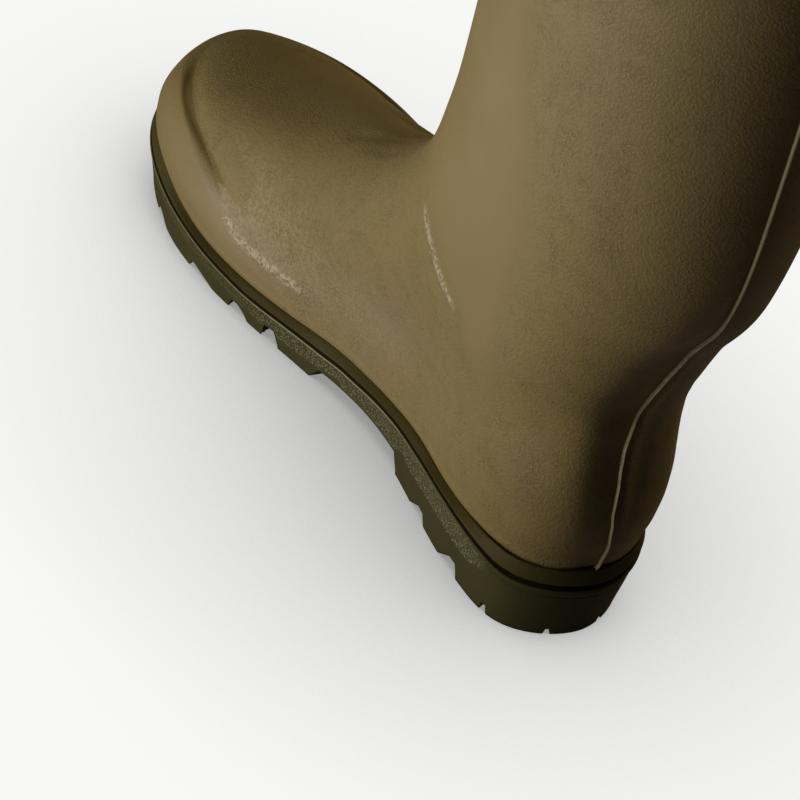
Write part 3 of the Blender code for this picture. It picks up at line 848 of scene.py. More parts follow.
def make_toe_guard(material):
    """Overlay round the toe: from its foot to near its upper edge at its full thickness over the upper's
    face, sinking into the upper along a soft lip, and back under itself inside the upper's wall."""
    rows, lip_rows = GUARD_ROWS
    past_end, end_fade = 0.02, 0.12
    foot_share, foot_level = 0.15, 1.5
    most_lip = 0.55
    reach = np.arccos(1 - 2 * GUARD_EDGE[0][0]) + past_end
    phi = np.linspace(reach, 2 * np.pi - reach, GUARD_ROUND)[None, :]
    edge = guard_edge(phi)
    thick = guard_thick(phi) * soft_step(np.abs(np.sin(0.5 * (phi - reach))), 0.0, end_fade)
    lip = (GUARD_LIP - GUARD_LIP_LESS * guard_side(phi)) / level_run(phi, edge)
    lip = np.minimum(lip, most_lip * (edge - GUARD_FOOT))
    fall = np.linspace(0.0, 1.0, lip_rows)[:, None]
    up = np.linspace(0.0, 1.0, rows, endpoint=False)[:, None]
    under = up[::-4]
    level = np.concatenate((GUARD_FOOT + up * (edge - lip - GUARD_FOOT), edge - lip + lip * fall,
                            GUARD_FOOT + under * (edge - GUARD_FOOT)))
    sink = thick - (thick + GUARD_TUCK) * soft_step(fall, 0.0, 1.0)
    rise = foot_share + (1 - foot_share) * soft_step(level[:len(up)], GUARD_FOOT, foot_level)
    offset = np.concatenate((thick * rise, sink, -GUARD_UNDER + 0 * under * edge))
    points, rub_and_painted_light = skin_points(phi, level, offset)
    masks = {"rub_and_painted_light": np.maximum(rub_and_painted_light, 0.0), "pebble": 0 * rub_and_painted_light + 0.6, "crease": 0 * rub_and_painted_light + 0.25,
             "dust_sheen_shade": dust_sheen_shade(phi, level) + np.minimum(rub_and_painted_light, 0.0)}
    masks = {label: gather_ends(values, 1) for label, values in masks.items()}
    return join_ends(skin("toe_guard_skin", gather_ends(points, 1), material, close_rows=True, masks=masks))


def wall_top(share):
    """Height of the sole's top edge, lifted along the length as the rand's table says."""
    return sole_top(share) + ease(RAND_EDGE, 2, share)


def make_rand(material):
    """Band round the foot of the upper: a closed section carried round the upper's face, moved down with
    the sole's top; at the heel its upper edge stands off the upper and leaves a narrow gap."""
    edge_rows, sink_below = (0.85, 0.97), 0.2
    phi = angles_round(RAND_ROUND)[None, :]
    share = 0.5 * (1 - np.cos(phi))
    up, out = RAND_SECTION[:, :1], RAND_SECTION[:, 1:]
    at_heel = soft_step(share, *RAND_GAP_ENDS)
    gap = at_heel * (np.arange(len(RAND_SECTION)) == RAND_GAP_ROW)[:, None]
    edge = ease(RAND_EDGE, 1, share)
    level = RAND_FOOT + np.maximum(up - RAND_GAP * gap, 0.0) * (edge - RAND_FOOT)
    normal = upper_normals(phi, level) * (1.0, 1.0, 0.0)
    normal /= np.linalg.norm(normal, axis=-1, keepdims=True)
    inner = upper_points(phi, level)
    stand = at_heel * soft_step(up, *edge_rows) * (out > 0.1) * RAND_STAND
    points = inner + (out + stand)[..., None] * normal
    points[..., 2] += sole_top(station(points[..., 1])) - sole_top(station(inner[..., 1]))
    lift = (1 - soft_step(up, 0.0, 1.0)) * ease(RAND_EDGE, 2, share)
    points[..., 2] += lift + sink_below * np.minimum(up, 0.0)
    flat = np.zeros(points.shape[:2])
    return skin("rand_band", points, material, close_rows=True, close_columns=True,
                masks={"rub_and_painted_light": flat, "pebble": flat + 0.5, "crease": flat})


def chevron(x, y, edge, ramp_end, middle, shallow, deep):
    """Depth of one chevron groove: an upright wall towards the toe, a flat, and a ramp back to the
    tread, with the wall running from the edges to a point further forward in the middle."""
    inward = np.clip((CHEVRON_EDGE - np.abs(x)) / (CHEVRON_EDGE - CHEVRON_X), 0.0, 1.0)
    inside = soft_step(CHEVRON_EDGE - np.abs(x), 0.0, GROOVE_INSIDE)
    behind = y + SOLE_LENGTH * (edge + (middle - edge) * inward)
    flat = GROOVE_EDGE_FLAT + (GROOVE_FLAT - GROOVE_EDGE_FLAT) * inside
    ramp = (edge - ramp_end) * SOLE_LENGTH - GROOVE_EDGE_FLAT
    ramp = ramp + (GROOVE_RAMP - ramp) * inside
    depth = shallow + (deep - shallow) * inside
    return depth * soft_step(behind, -0.2, 1.0) * (1.0 - np.clip((behind - flat) / ramp, 0.0, 1.0))


def heel_notch(y, ramp_foot, ramp_head, upright, depth):
    """Depth of one notch across the heel: a ramp, a flat, and an upright face towards the heel's back."""
    share = -y / SOLE_LENGTH
    ramp = np.clip((ramp_foot - share) / (ramp_foot - ramp_head), 0.0, 1.0)
    return depth * ramp * soft_step(share, upright - 0.002, upright + 0.002)


def slit(x, y, first, last, place, width, depth):
    """Depth of a lengthwise slit: full within half its width of its place, between its two ends."""
    share = -y / SOLE_LENGTH
    inside = soft_step(0.5 * width + CUT_EDGE - np.abs(x - place), 0.0, 2 * CUT_EDGE)
    ends = soft_step(share, first, first + CUT_END), soft_step(last - share, 0.0, CUT_END)
    return depth * inside * ends[0] * ends[1]


def heel_slot(x, y, angle, width, depth):
    """Depth of a slot that runs outwards from the heel's centre at an angle from the centre back."""
    away_x, away_y = x - HEEL_CENTRE[0], y - HEEL_CENTRE[1]
    turn = np.radians(angle)
    along = away_x * np.sin(turn) + away_y * np.cos(turn)
    beside = np.abs(away_x * np.cos(turn) - away_y * np.sin(turn))
    inside = soft_step(0.5 * width + CUT_EDGE - beside, 0.0, 2 * CUT_EDGE)
    return depth * soft_step(along, *SLOT_START) * inside


def tread(x, y):
    """Height of the tread over its uncut foot: the deepest of the chevron grooves, the heel notches,
    the waist with its bridge, the slits, the slots at the back and fine ribs across the toe."""
    share = -y / SOLE_LENGTH
    cuts = [chevron(x, y, *row) for row in GROOVES] + [heel_notch(y, *row) for row in HEEL_NOTCHES]
    in_waist = soft_step(share, *WAIST_BREAST) * soft_step(WAIST_END - share, 0.0, WAIST_FADE)
    edge_height, bridge_height = [ease(WAIST, column, share) for column in (1, 2)]
    cuts.append(in_waist * (edge_height + (bridge_height - edge_height) * ease(BRIDGE, 1, x)))
    cuts += [slit(x, y, *row) for row in SLITS]
    cuts += [heel_slot(x, y, *row) for row in HEEL_SLOTS]
    ribs = soft_step(np.sin(2 * np.pi * y / RIB_PITCH), -0.2, 0.6)
    cuts.append(RIB_DEEP * ribs * soft_step(share, *RIB_START))
    return np.maximum.reduce(cuts)


def wall_rows(share, taper, top, foot):
    """Rows of the sole's wall from its top edge down to its foot, one zone after the other: height below
    the top edge, inset from the plan, stipple mask, and a mask of painted highlight on the lip and painted
    shade in the groove. The groove runs in under the rand, the lip is a low arch, the line under it another
    arch inwards, and the strip stands back a little."""
    groove, lip, line, edge, pale = [ease(WALL_ZONES, column, share) for column in range(1, 6)]
    stippled = soft_step(share, *STIPPLE_ENDS) * (1.0 - STIPPLE_LOSS * soft_step(share, *STIPPLE_THINS))
    inwards = GROOVE_INSET + GROOVE_SLOPE * groove
    rows = [(groove * u, WALL_INSET + inwards * (1 - u ** 3), 0.0, -1.0 * (u < 0.9))
            for u in (0.0, 0.35, 0.65, 0.85, 1.0)]
    below = groove
    rows += [(below + lip * u, WALL_INSET - LIP_ARCH * np.sin(np.pi * u), 0.0, pale * np.sin(np.pi * u))
             for u in (0.15, 0.3, 0.5, 0.7, 0.85, 1.0)]
    below = below + lip
    rows += [(below + LINE_HIGH * u, WALL_INSET + line * np.sin(np.pi * u), stippled * u, 0.0)
             for u in (0.25, 0.5, 0.75, 1.0)]
    below = below + LINE_HIGH
    strip = np.minimum(edge, top - foot - FOOT_LEAST) - below
    rows += [(below + strip * u, WALL_INSET + STRIP_INSET * stippled * np.sin(np.pi * u) ** 0.5,
              stippled * (u < 1), 0.0) for u in (0.08, 0.2, 0.35, 0.5, 0.65, 0.8, 0.96, 1.0)]
    below = below + strip
    rows += [(below + (top - foot - below) * u, WALL_INSET - FOOT_OUT * min(1.0, 4 * u), 0.0, 0.0)
             for u in np.linspace(0.0, 1.0, 13)[1:-1]]
    down, inset, stipple, crest_rub_light_shade = [np.concatenate([row[k] + 0 * share for row in rows], 1)
                                   for k in range(4)]
    return down, inset + taper * down / (top - sole_foot(share)), stipple, crest_rub_light_shade


def make_outsole(material):
    """Sole in cross sections from heel to toe: the tread from the lateral to the medial foot, up the
    medial wall, back over the top and down the lateral wall."""
    phi = np.linspace(0.0, np.pi, SOLE_SECTIONS)[:, None]
    share = 0.5 * (1 - np.cos(phi))
    taper = ease(SIDE_TAPER, 1, share)
    top = wall_top(share)
    ends = [plan(side * phi, taper) for side in (-1, 1)]
    across = np.linspace(0.0, 1.0, TREAD_POINTS)[None, :]
    x = ends[0][0] + across * (ends[1][0] - ends[0][0])
    y = ends[0][1] + across * (ends[1][1] - ends[0][1])
    bottom = np.stack((x, y, sole_foot(station(y)) + tread(x, y)), -1)
    walls = []
    for side, foot in ((1, bottom[:, -1:, 2]), (-1, bottom[:, :1, 2])):
        down, inset, stipple, crest_rub_light_shade = wall_rows(share, taper, top, foot)
        wall_x, wall_y = plan(side * phi + 0 * down, inset)
        walls.append((np.stack((wall_x, wall_y, top - down), -1), stipple, crest_rub_light_shade))
    medial, lateral = [part[:, ::-1] for part in walls[0]], walls[1]
    over = np.linspace(0.0, 1.0, CAP_POINTS)[None, 1:-1, None]
    cap = medial[0][:, -1:] + over * (lateral[0][:, :1] - medial[0][:, -1:])
    points = np.concatenate((bottom, medial[0], cap, lateral[0]), 1)
    none = np.zeros(bottom.shape[:2])
    gap = np.zeros(cap.shape[:2])
    masks = {"stipple": np.concatenate((none, medial[1], gap, lateral[1]), 1),
             "lip": np.concatenate((none, medial[2], gap, lateral[2]), 1)}
    return join_ends(skin("tread_sole", points, material, close_columns=True, masks=masks))


def make_footbed(material):
    """Footbed in cross sections from heel to toe: flat underneath, its edge rounded by a quarter
    circle, and its top hollowed along the middle."""
    phi = np.linspace(0.0, np.pi, FOOTBED_SECTIONS)[:, None]
    turn = np.linspace(0.0, 0.5 * np.pi, FOOTBED_EDGE_POINTS)[None, :]
    inset = WELT + WALL + INSOLE_CLEAR
    across = np.linspace(0.0, 1.0, FOOTBED_POINTS)[None, 1:-1]

    def side_ring(side):
        x, y = plan(side * phi + 0 * turn, inset + INSOLE_EDGE * (1 - np.cos(turn)))
        z = sole_top(station(y)) + GAP + INSOLE_THICK - INSOLE_EDGE + INSOLE_EDGE * np.sin(turn)
        return np.stack((x, y, z), -1)

    def foot(side):
        x, y = plan(side * phi, inset)
        return np.stack((x, y, sole_top(station(y)) + GAP), -1)

    medial, lateral = side_ring(1), side_ring(-1)[:, ::-1]
    top = medial[:, -1:] + across[..., None] * (lateral[:, :1] - medial[:, -1:])
    hollow = INSOLE_HOLLOW * np.sin(np.pi * across) ** 2
    top[..., 2] = sole_top(station(top[..., 1])) + GAP + INSOLE_THICK - hollow
    points = np.concatenate((foot(1), medial, top, lateral, foot(-1)), 1)
    return join_ends(skin("footbed", points, material, close_columns=True))


def make_back_seam(material):
    """Raised seam up the centre back: a round bead over the upper's face, wider above the heel and from
    the ankle up, its two edges tucked under the face, along a path that wanders from side to side."""
    low_rows, high_rows = SEAM_ROWS
    level = np.concatenate((np.linspace(SEAM_FOOT, ANKLE, low_rows, endpoint=False),
                            np.linspace(ANKLE, COLLAR, high_rows)))[:, None]
    d = 0.01
    run = np.linalg.norm(upper_points(d, level) - upper_points(-d, level), axis=-1) / (2 * d)
    wander = ease(SEAM_PATH, 1, level)
    for size, waves, start in SEAM_WAVES:
        wander = wander + size * np.sin(waves * level + start)
    wide = SEAM_LEAST + SEAM_MORE * bell(level, *SEAM_HEEL) + SEAM_MORE * soft_step(level, *SEAM_ANKLE)
    turn = np.linspace(-SEAM_TURN, SEAM_TURN, SEAM_ROUND)[None, :]
    phi = (wander + SEAM_HALF * wide * np.sin(turn)) / run
    high = SEAM_HIGH * (SEAM_SIDE + (1 - SEAM_SIDE) * np.cos(turn))
    points, _ = skin_points(phi, level + 0 * phi, high + 0 * phi)
    # Paler rubbing along the seam is a painted highlight; the darker foot and the darker band over the ankle
    # are painted shade
    rub_and_painted_light = sum(amount * bell(level, middle, half) for middle, half, amount in SEAM_RUB_HIGHLIGHT)
    middle, half, amount = SEAM_PAINTED_SHADE
    seam_painted_shade = -SEAM_FOOT_PAINTED_SHADE_SHARE * soft_step(level, *SEAM_FOOT_PAINTED_SHADE) - amount * bell(level, middle, half)
    masks = {"rub_and_painted_light": rub_and_painted_light + 0 * phi, "pebble": 0 * phi + 0.3, "crease": 0 * phi, "dust_sheen_shade": seam_painted_shade + 0 * phi}
    masks = {label: gather_ends(values, 0) for label, values in masks.items()}
    return join_ends(skin("back_seam", gather_ends(points, 0), material, close_columns=True, masks=masks))


def link_all(tree, node, links):
    """Links outputs to a node's inputs by name or number."""
    for name, source in links.items():
        tree.links.new(source, node.inputs[name])


def add(tree, kind, links=None, values=None, **settings):
    """A node with its settings, its input values and its links."""
    node = tree.nodes.new(kind)
    for name, value in settings.items():
        setattr(node, name, value)
    for name, value in (values or {}).items():
        node.inputs[name].default_value = value
    link_all(tree, node, links or {})
    return node


def blend_colour(tree, mask, first, second):
    """First colour where the mask is 0, second where it is 1; each is a colour or an output."""
    node = add(tree, "ShaderNodeMix", {"Factor": mask}, data_type="RGBA")
    for socket, colour in ((node.inputs[6], first), (node.inputs[7], second)):
        if isinstance(colour, tuple):
            socket.default_value = colour + (1.0,)
        else:
            tree.links.new(colour, socket)
    return node.outputs[2]


def spread(tree, source, low, high, to_low, to_high):
    """Value carried from one range to another, held at both ends."""
    return add(tree, "ShaderNodeMapRange", {"Value": source},
               {"From Min": low, "From Max": high, "To Min": to_low, "To Max": to_high}).outputs["Result"]


def work(tree, operation, first, second):
    """Arithmetic on two values; each is a number or an output."""
    node = add(tree, "ShaderNodeMath", operation=operation)
    for socket, value in zip(node.inputs, (first, second)):
        if isinstance(value, (int, float)):
            socket.default_value = value
        else:
            tree.links.new(value, socket)
    return node.outputs[0]


def new_group(name, inputs, outputs):
    """Empty node group with its named inputs and outputs; returns group, tree input and output nodes."""
    group = bpy.data.node_groups.new(name, "ShaderNodeTree")
    for label, kind in inputs:
        group.interface.new_socket(name=label, in_out="INPUT", socket_type=kind)
    for label, kind in outputs:
        group.interface.new_socket(name=label, in_out="OUTPUT", socket_type=kind)
    return group, group.nodes.new("NodeGroupInput"), group.nodes.new("NodeGroupOutput")


def make_grain_group():
    """Grain of the rubber: rounded pebbles from warped cells crossed by a finer noise, and short creases,
    which are thin lines where one noise passes its middle value, kept where a slower noise is high."""
    warp_scale, fine_scale, bend_scale, slow_scale = 0.6, 2.3, 0.80, 0.11
    warp_share, line_width = 0.9, 0.035
    group, start, end = new_group("rubber_grain",
                                  (("Vector", "NodeSocketVector"), ("Cells", "NodeSocketFloat")),
                                  (("Pebbles", "NodeSocketFloat"), ("Creases", "NodeSocketFloat")))
    vector, cells = start.outputs["Vector"], start.outputs["Cells"]

    def noise(scale, **values):
        links = {"Vector": vector, "Scale": work(group, "MULTIPLY", cells, scale)}
        return add(group, "ShaderNodeTexNoise", links, values)

    warp = noise(warp_scale, Detail=2.0)
    shift = add(group, "ShaderNodeVectorMath", {0: warp.outputs["Color"]}, {1: (0.5, 0.5, 0.5)},
                operation="SUBTRACT")
    size = work(group, "DIVIDE", warp_share, cells)
    scaled = add(group, "ShaderNodeVectorMath", {0: shift.outputs["Vector"], "Scale": size},
                 operation="SCALE")
    moved = add(group, "ShaderNodeVectorMath", {0: vector, 1: scaled.outputs["Vector"]}, operation="ADD")
    cell = add(group, "ShaderNodeTexVoronoi", {"Vector": moved.outputs["Vector"], "Scale": cells},
               feature="F1")
    pebble = spread(group, cell.outputs["Distance"], 0.05, 0.70, 1.0, 0.0)
    fine = noise(fine_scale, Detail=2.0, Roughness=0.6)
    height = work(group, "MULTIPLY", work(group, "ADD", pebble, fine.outputs["Fac"]), 0.5)
    bend = noise(bend_scale, Detail=2.0, Roughness=0.55)
    middle = work(group, "ABSOLUTE", work(group, "SUBTRACT", bend.outputs["Fac"], 0.5), 0.0)
    line = spread(group, middle, 0.0, line_width, 1.0, 0.0)
    slow = noise(slow_scale, Detail=3.0, Roughness=0.7)
    patch = spread(group, slow.outputs["Fac"], 0.40, 0.66, 0.0, 1.0)
    link_all(group, end, {"Pebbles": height, "Creases": work(group, "MULTIPLY", line, patch)})
    return group


def make_drift_group():
    """Slow change of tone over the surface, with a cloudy middle scale."""
    group, start, end = new_group("tone_drift",
                                  (("Vector", "NodeSocketVector"), ("Patches", "NodeSocketFloat")),
                                  (("Tone", "NodeSocketFloat"),))
    links = {"Vector": start.outputs["Vector"], "Scale": start.outputs["Patches"]}
    cloud = add(group, "ShaderNodeTexNoise", links, {"Detail": 5.0, "Roughness": 0.55})
    link_all(group, end, {"Tone": spread(group, cloud.outputs["Fac"], 0.3, 0.7, 0.0, 1.0)})
    return group


def place_group(tree, group, **values):
    """Group node with values and links by input name."""
    node = add(tree, "ShaderNodeGroup", node_tree=group)
    for name, value in values.items():
        if isinstance(value, (int, float)):
            node.inputs[name].default_value = value
        else:
            tree.links.new(value, node.inputs[name])
    return node


def start_material(name, **values):
    """Material with a Principled shader whose plain values are set; returns it, its tree, the shader and
    the Object coordinates."""
    material = bpy.data.materials.new(name)
    material.use_nodes = True
    tree = material.node_tree
    shader = tree.nodes["Principled BSDF"]
    for label, value in values.items():
        shader.inputs[label.replace("_", " ")].default_value = value
    coordinates = tree.nodes.new("ShaderNodeTexCoord")
    return material, tree, shader, coordinates.outputs["Object"]


def bump(tree, height, distance, strength=1.0, under=None):
    """Bump of a height, in metres for a height of 1."""
    links = {"Height": height}
    if under is not None:
        links["Normal"] = under
    return add(tree, "ShaderNodeBump", links, {"Distance": distance, "Strength": strength}).outputs["Normal"]


def rubber(name, light, dark, cells, depth, rough, gloss):
    """Olive rubber: tone drifts between two colours, pebbles and creases follow the piece's own masks, low
    spots and crease lines are darkened as painted shade, a dusty veil with painted sheen and painted shade
    lies over it, and rubbed crests are paler, partly wear and partly painted highlight, and finely wrinkled."""
    material, tree, shader, place = start_material(name, Specular_IOR_Level=gloss)
    drift = place_group(tree, DRIFT, Vector=place, Patches=22.0)
    grain = place_group(tree, GRAIN, Vector=place, Cells=cells)
    pebble_mask, crease_mask, rub_highlight_mask, dust_sheen_shade_mask = [
        add(tree, "ShaderNodeAttribute", attribute_name=label).outputs["Fac"]
        for label in ("pebble", "crease", "rub_and_painted_light", "dust_sheen_shade")]
    pebble = work(tree, "MULTIPLY", grain.outputs["Pebbles"], pebble_mask)
    crease = work(tree, "MULTIPLY", grain.outputs["Creases"], crease_mask)
    scuff = add(tree, "ShaderNodeTexNoise", {"Vector": place},
                {"Scale": 620.0, "Detail": 4.0, "Roughness": 0.65})
    # Paler rubbed places: partly wear, partly a painted highlight on crests and ridges
    worn_and_highlight = work(tree, "MULTIPLY", rub_highlight_mask, spread(tree, scuff.outputs["Fac"], 0.42, 0.60, 0.0, 1.0))
    worn_and_highlight = work(tree, "MINIMUM", worn_and_highlight, 1.0)
    tone = blend_colour(tree, drift.outputs["Tone"], dark, light)
    # A pale dusty veil with painted sheen where the mask is over 0, and painted shade where it is under 0
    tone = blend_colour(tree, spread(tree, dust_sheen_shade_mask, 0.0, 1.0, 0.0, DUST_SHEEN_COVER), tone, DUST_SHEEN_COLOUR)
    tone = blend_colour(tree, spread(tree, dust_sheen_shade_mask, -1.0, 0.0, PAINTED_SHADE_COVER, 0.0), tone, PAINTED_SHADE_COLOUR)
    # Low spots of the pebbles and the crease lines are darkened, a painted shade in the hollows
    low = work(tree, "MULTIPLY", spread(tree, pebble, 0.15, 0.5, 0.22, 0.0), pebble_mask)
    tone = blend_colour(tree, low, tone, tuple(0.5 * part for part in dark))
    tone = blend_colour(tree, work(tree, "MULTIPLY", crease, 0.3), tone, tuple(0.4 * part for part in dark))
    pale = tuple(1.3 * part + 0.15 for part in light)
    tone = blend_colour(tree, work(tree, "MULTIPLY", worn_and_highlight, WORN_HIGHLIGHT_COVER), tone, pale)
    roughness = spread(tree, drift.outputs["Tone"], 0.0, 1.0, rough + 0.05, rough - 0.05)
    roughness = work(tree, "ADD", roughness, work(tree, "MULTIPLY", crease, 0.12))
    relief = work(tree, "SUBTRACT", work(tree, "MULTIPLY", pebble, depth),
                  work(tree, "MULTIPLY", crease, CREASE_DEEP))
    relief = work(tree, "ADD", relief, work(tree, "MULTIPLY", worn_and_highlight, WORN_HIGH))
    link_all(tree, shader, {"Base Color": tone, "Roughness": roughness, "Normal": bump(tree, relief, 1.0)})
    return material


def sole_rubber():
    """Moulded sole rubber: smooth and dark, with a strip of irregular stipple and a paler lip over it that is
    a painted highlight, and painted shade in the groove over the lip."""
    material, tree, shader, place = start_material("moulded_sole_rubber")
    drift = place_group(tree, DRIFT, Vector=place, Patches=30.0)
    strip = add(tree, "ShaderNodeAttribute", attribute_name="stipple").outputs["Fac"]
    lip = add(tree, "ShaderNodeAttribute", attribute_name="lip").outputs["Fac"]
    dots = add(tree, "ShaderNodeTexVoronoi", {"Vector": place}, {"Scale": 1450.0, "Randomness": 1.0})
    lumps = add(tree, "ShaderNodeTexNoise", {"Vector": place}, {"Scale": 900.0, "Detail": 2.0})
    dome = work(tree, "MULTIPLY", spread(tree, dots.outputs["Distance"], 0.08, 0.55, 1.0, 0.0),
                spread(tree, lumps.outputs["Fac"], 0.35, 0.6, 0.25, 1.0))
    fine = add(tree, "ShaderNodeTexNoise", {"Vector": place}, {"Scale": 1400.0, "Detail": 3.0})
    base = blend_colour(tree, drift.outputs["Tone"], *SOLE_COLOURS)
    beads = blend_colour(tree, spread(tree, dome, 0.05, 0.55, 0.0, 1.0), *STIPPLE_COLOURS)
    base = blend_colour(tree, strip, base, beads)
    # Paler lip: a painted highlight; near-black groove with no gloss: painted shade
    base = blend_colour(tree, spread(tree, lip, 0.0, 1.0, 0.0, LIP_HIGHLIGHT_COVER), base, LIP_HIGHLIGHT_COLOUR)
    base = blend_colour(tree, spread(tree, lip, -0.5, 0.0, 1.0, 0.0), base, GROOVE_SHADE_COLOUR)
    rough = spread(tree, fine.outputs["Fac"], 0.3, 0.7, 0.60, 0.72)
    relief = work(tree, "ADD", work(tree, "MULTIPLY", work(tree, "MULTIPLY", dome, strip), STIPPLE_HIGH),
                  work(tree, "MULTIPLY", fine.outputs["Fac"], SOLE_GRAIN))
    link_all(tree, shader, {"Specular IOR Level": spread(tree, lip, -0.5, 0.0, 0.0, SOLE_GLOSS),
                            "Base Color": base, "Roughness": rough, "Normal": bump(tree, relief, 1.0)})
    return material


def lining_fabric():
    """Knitted jersey over foam: fine ribs round and up the boot, dark, with a dull nap."""
    material, tree, shader, place = start_material("lining_jersey", Specular_IOR_Level=0.2, Roughness=0.9,
                                                   Sheen_Weight=0.3, Sheen_Roughness=0.5)
    cloth = tree.nodes.new("ShaderNodeUVMap")
    cloth.uv_map = "cloth"
    ribs = add(tree, "ShaderNodeTexWave", {"Vector": cloth.outputs["UV"]},
               {"Scale": 190.0, "Distortion": 0.6, "Detail": 1.0}, bands_direction="X")
    rows = add(tree, "ShaderNodeTexWave", {"Vector": cloth.outputs["UV"]},
               {"Scale": 150.0, "Distortion": 0.4}, bands_direction="Y")
    height = work(tree, "MULTIPLY", ribs.outputs["Fac"], rows.outputs["Fac"])
    drift = place_group(tree, DRIFT, Vector=place, Patches=40.0)
    base = blend_colour(tree, drift.outputs["Tone"], *JERSEY_COLOURS)
    # Hollows between the knit's ribs are darkened: painted shade
    base = blend_colour(tree, height, tuple(0.5 * part for part in JERSEY_COLOURS[0]), base)
    link_all(tree, shader, {"Base Color": base, "Normal": bump(tree, height, 0.0002)})
    return material


def footbed_fabric():
    """Needled felt of the footbed: short fibres by a fine noise, dark grey."""
    material, tree, shader, place = start_material("footbed_felt", Specular_IOR_Level=0.2, Roughness=0.95)
    fibre = add(tree, "ShaderNodeTexNoise", {"Vector": place}, {"Scale": 900.0, "Detail": 4.0})
    drift = place_group(tree, DRIFT, Vector=place, Patches=60.0)
    base = blend_colour(tree, drift.outputs["Tone"], *FELT_COLOURS)
    link_all(tree, shader, {"Base Color": base, "Normal": bump(tree, fibre.outputs["Fac"], 0.0004)})
    return material


def make_floor():
    """Plain pale floor, a large square under the boot: even and pale to the eye, with a painted soft shadow
    close round the boot's foot, and dull to the light that it sends back up, though it glows faintly warm as
    a painted bounce light."""
    mesh = bpy.data.meshes.new("floor")
    corners = [(FLOOR_HALF * x, FLOOR_HALF * y, 0.0) for x, y in ((-1, -1), (1, -1), (1, 1), (-1, 1))]
    mesh.from_pydata(corners, [], [(0, 1, 2, 3)])
    # Dull grey with a faint warm glow for the light it sends to the boot, a painted bounce light; to the eye,
    # pale with a painted soft shadow by ambient occlusion round the boot's foot
    material, tree, shader, _ = start_material(
        "pale_floor", Specular_IOR_Level=0.0, Roughness=0.9, Base_Color=(0.3, 0.3, 0.3, 1.0),
        Emission_Color=(1.0, 0.86, 0.80, 1.0), Emission_Strength=0.055)
    near = add(tree, "ShaderNodeAmbientOcclusion", None, {"Distance": FLOOR_SHADE}, samples=8)
    shade = blend_colour(tree, spread(tree, near.outputs["AO"], 0.25, 1.0, 1.0, 0.0), *FLOOR_COLOURS)
    seen = add(tree, "ShaderNodeEmission", {"Color": shade})
    eye = tree.nodes.new("ShaderNodeLightPath")
    both = add(tree, "ShaderNodeMixShader", {0: eye.outputs["Is Camera Ray"], 1: shader.outputs["BSDF"],
                                             2: seen.outputs["Emission"]})
    tree.links.new(both.outputs["Shader"], tree.nodes["Material Output"].inputs["Surface"])
    mesh.materials.append(material)
    floor = bpy.data.objects.new("floor", mesh)
    bpy.context.scene.collection.objects.link(floor)


def make_camera():
    """Camera by its angle round the boot, its height, its roll and its distance from a point on it."""
    turn, height, roll = 2.52945, 0.6956, 0.26179
    target = (np.array((62.92758, -54.36566, 79.57027)) - ORIGIN) * MM
    distance = 1.6930547
    back = Vector((np.sin(turn) * np.cos(height), -np.cos(turn) * np.cos(height), np.sin(height)))
    right = Vector((np.cos(turn), np.sin(turn), 0.0))
    up = back.cross(right)
    across = np.cos(roll) * right + np.sin(roll) * up
    upward = np.cos(roll) * up - np.sin(roll) * right
    lens = bpy.data.cameras.new("camera")
    lens.sensor_width = 36.0
    lens.lens = 220.48
    camera = bpy.data.objects.new("camera", lens)
    bpy.context.scene.collection.objects.link(camera)
    place = Matrix((across, upward, back)).transposed().to_4x4()
    place.translation = Vector(target) + distance * back
    camera.matrix_world = place
    bpy.context.scene.camera = camera


def soft_box(name, turn, rise, far, size, power, colour, shine):
    """Square area light at an angle from +X towards +Y, a rise over the floor and a distance from the
    boot's middle, turned to the boot; shine says whether its reflection is seen on the rubber."""
    turn, rise = np.radians(turn), np.radians(rise)
    away = Vector((np.cos(turn) * np.cos(rise), np.sin(turn) * np.cos(rise), np.sin(rise)))
    light = bpy.data.lights.new(name, "AREA")
    light.shape = "SQUARE"
    light.size = size
    light.energy = power
    light.color = colour
    lamp = bpy.data.objects.new(name, light)
    bpy.context.scene.collection.objects.link(lamp)
    lamp.location = Vector(BOX_TARGET) + far * away
    lamp.rotation_mode = "QUATERNION"
    lamp.rotation_quaternion = (-away).to_track_quat("-Z", "Y")
    lamp.visible_glossy = shine


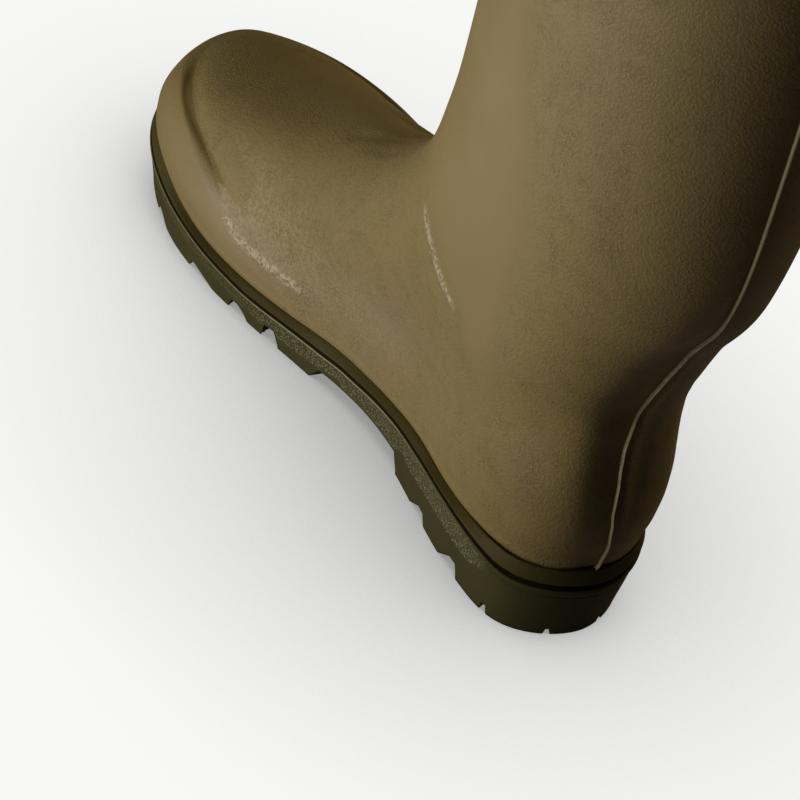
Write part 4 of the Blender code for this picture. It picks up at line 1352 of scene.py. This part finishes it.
def make_light():
    """Soft studio light: two boxes near the inner side, two further off on the outer side, a small lamp
    that shows the lining, and a dim surround that is pale to the eye."""
    for row in SOFT_BOXES:
        soft_box(*row)
    lamp = bpy.data.objects.new("shaft_lamp", bpy.data.lights.new("shaft_lamp", "POINT"))
    bpy.context.scene.collection.objects.link(lamp)
    lamp.data.energy = LAMP_POWER
    lamp.data.shadow_soft_size = LAMP_RADIUS
    lamp.location = LAMP_PLACE
    lamp.visible_camera = False
    lamp.visible_glossy = False
    world = bpy.data.worlds.new("surround")
    world.use_nodes = True
    tree = world.node_tree
    eye = tree.nodes.new("ShaderNodeLightPath")
    strength = spread(tree, eye.outputs["Is Camera Ray"], 0.0, 1.0, *SURROUND)
    tree.nodes["Background"].inputs["Color"].default_value = (1.0, 1.0, 0.99, 1.0)
    tree.links.new(strength, tree.nodes["Background"].inputs["Strength"])
    bpy.context.scene.world = world
    bpy.context.scene.view_settings.view_transform = "Standard"


make_camera()
GRAIN = make_grain_group()
DRIFT = make_drift_group()
UPPER_RUBBER = rubber("olive_upper_rubber", (0.200, 0.146, 0.053), (0.177, 0.129, 0.0455),
                      cells=820.0, depth=0.00021, rough=0.54, gloss=0.24)
GUARD_RUBBER = rubber("olive_guard_rubber", (0.197, 0.142, 0.051), (0.177, 0.127, 0.045),
                      cells=820.0, depth=0.00017, rough=0.52, gloss=0.24)
# The seam's pale rubber is partly wear and mostly a painted highlight on the bead
SEAM_HIGHLIGHT_RUBBER = rubber("pale_seam_rubber_painted_highlight", (0.46, 0.38, 0.21), (0.40, 0.325, 0.175),
                     cells=820.0, depth=0.00004, rough=0.50, gloss=0.32)
RAND_RUBBER = rubber("olive_rand_rubber", (0.049, 0.038, 0.0075), (0.042, 0.032, 0.0065),
                     cells=1100.0, depth=0.00006, rough=0.68, gloss=0.12)
settle(make_upper(UPPER_RUBBER), "upper", "upper")
settle(make_back_seam(SEAM_HIGHLIGHT_RUBBER), "upper")
settle(make_lining(lining_fabric()), "insole")
settle(make_toe_guard(GUARD_RUBBER), "toe_guard", "toe_guard")
settle(make_rand(RAND_RUBBER), "rand", "rand")
settle(make_outsole(sole_rubber()), "outsole", "outsole")
settle(make_footbed(footbed_fabric()), "insole", "insole")
make_floor()
make_light()
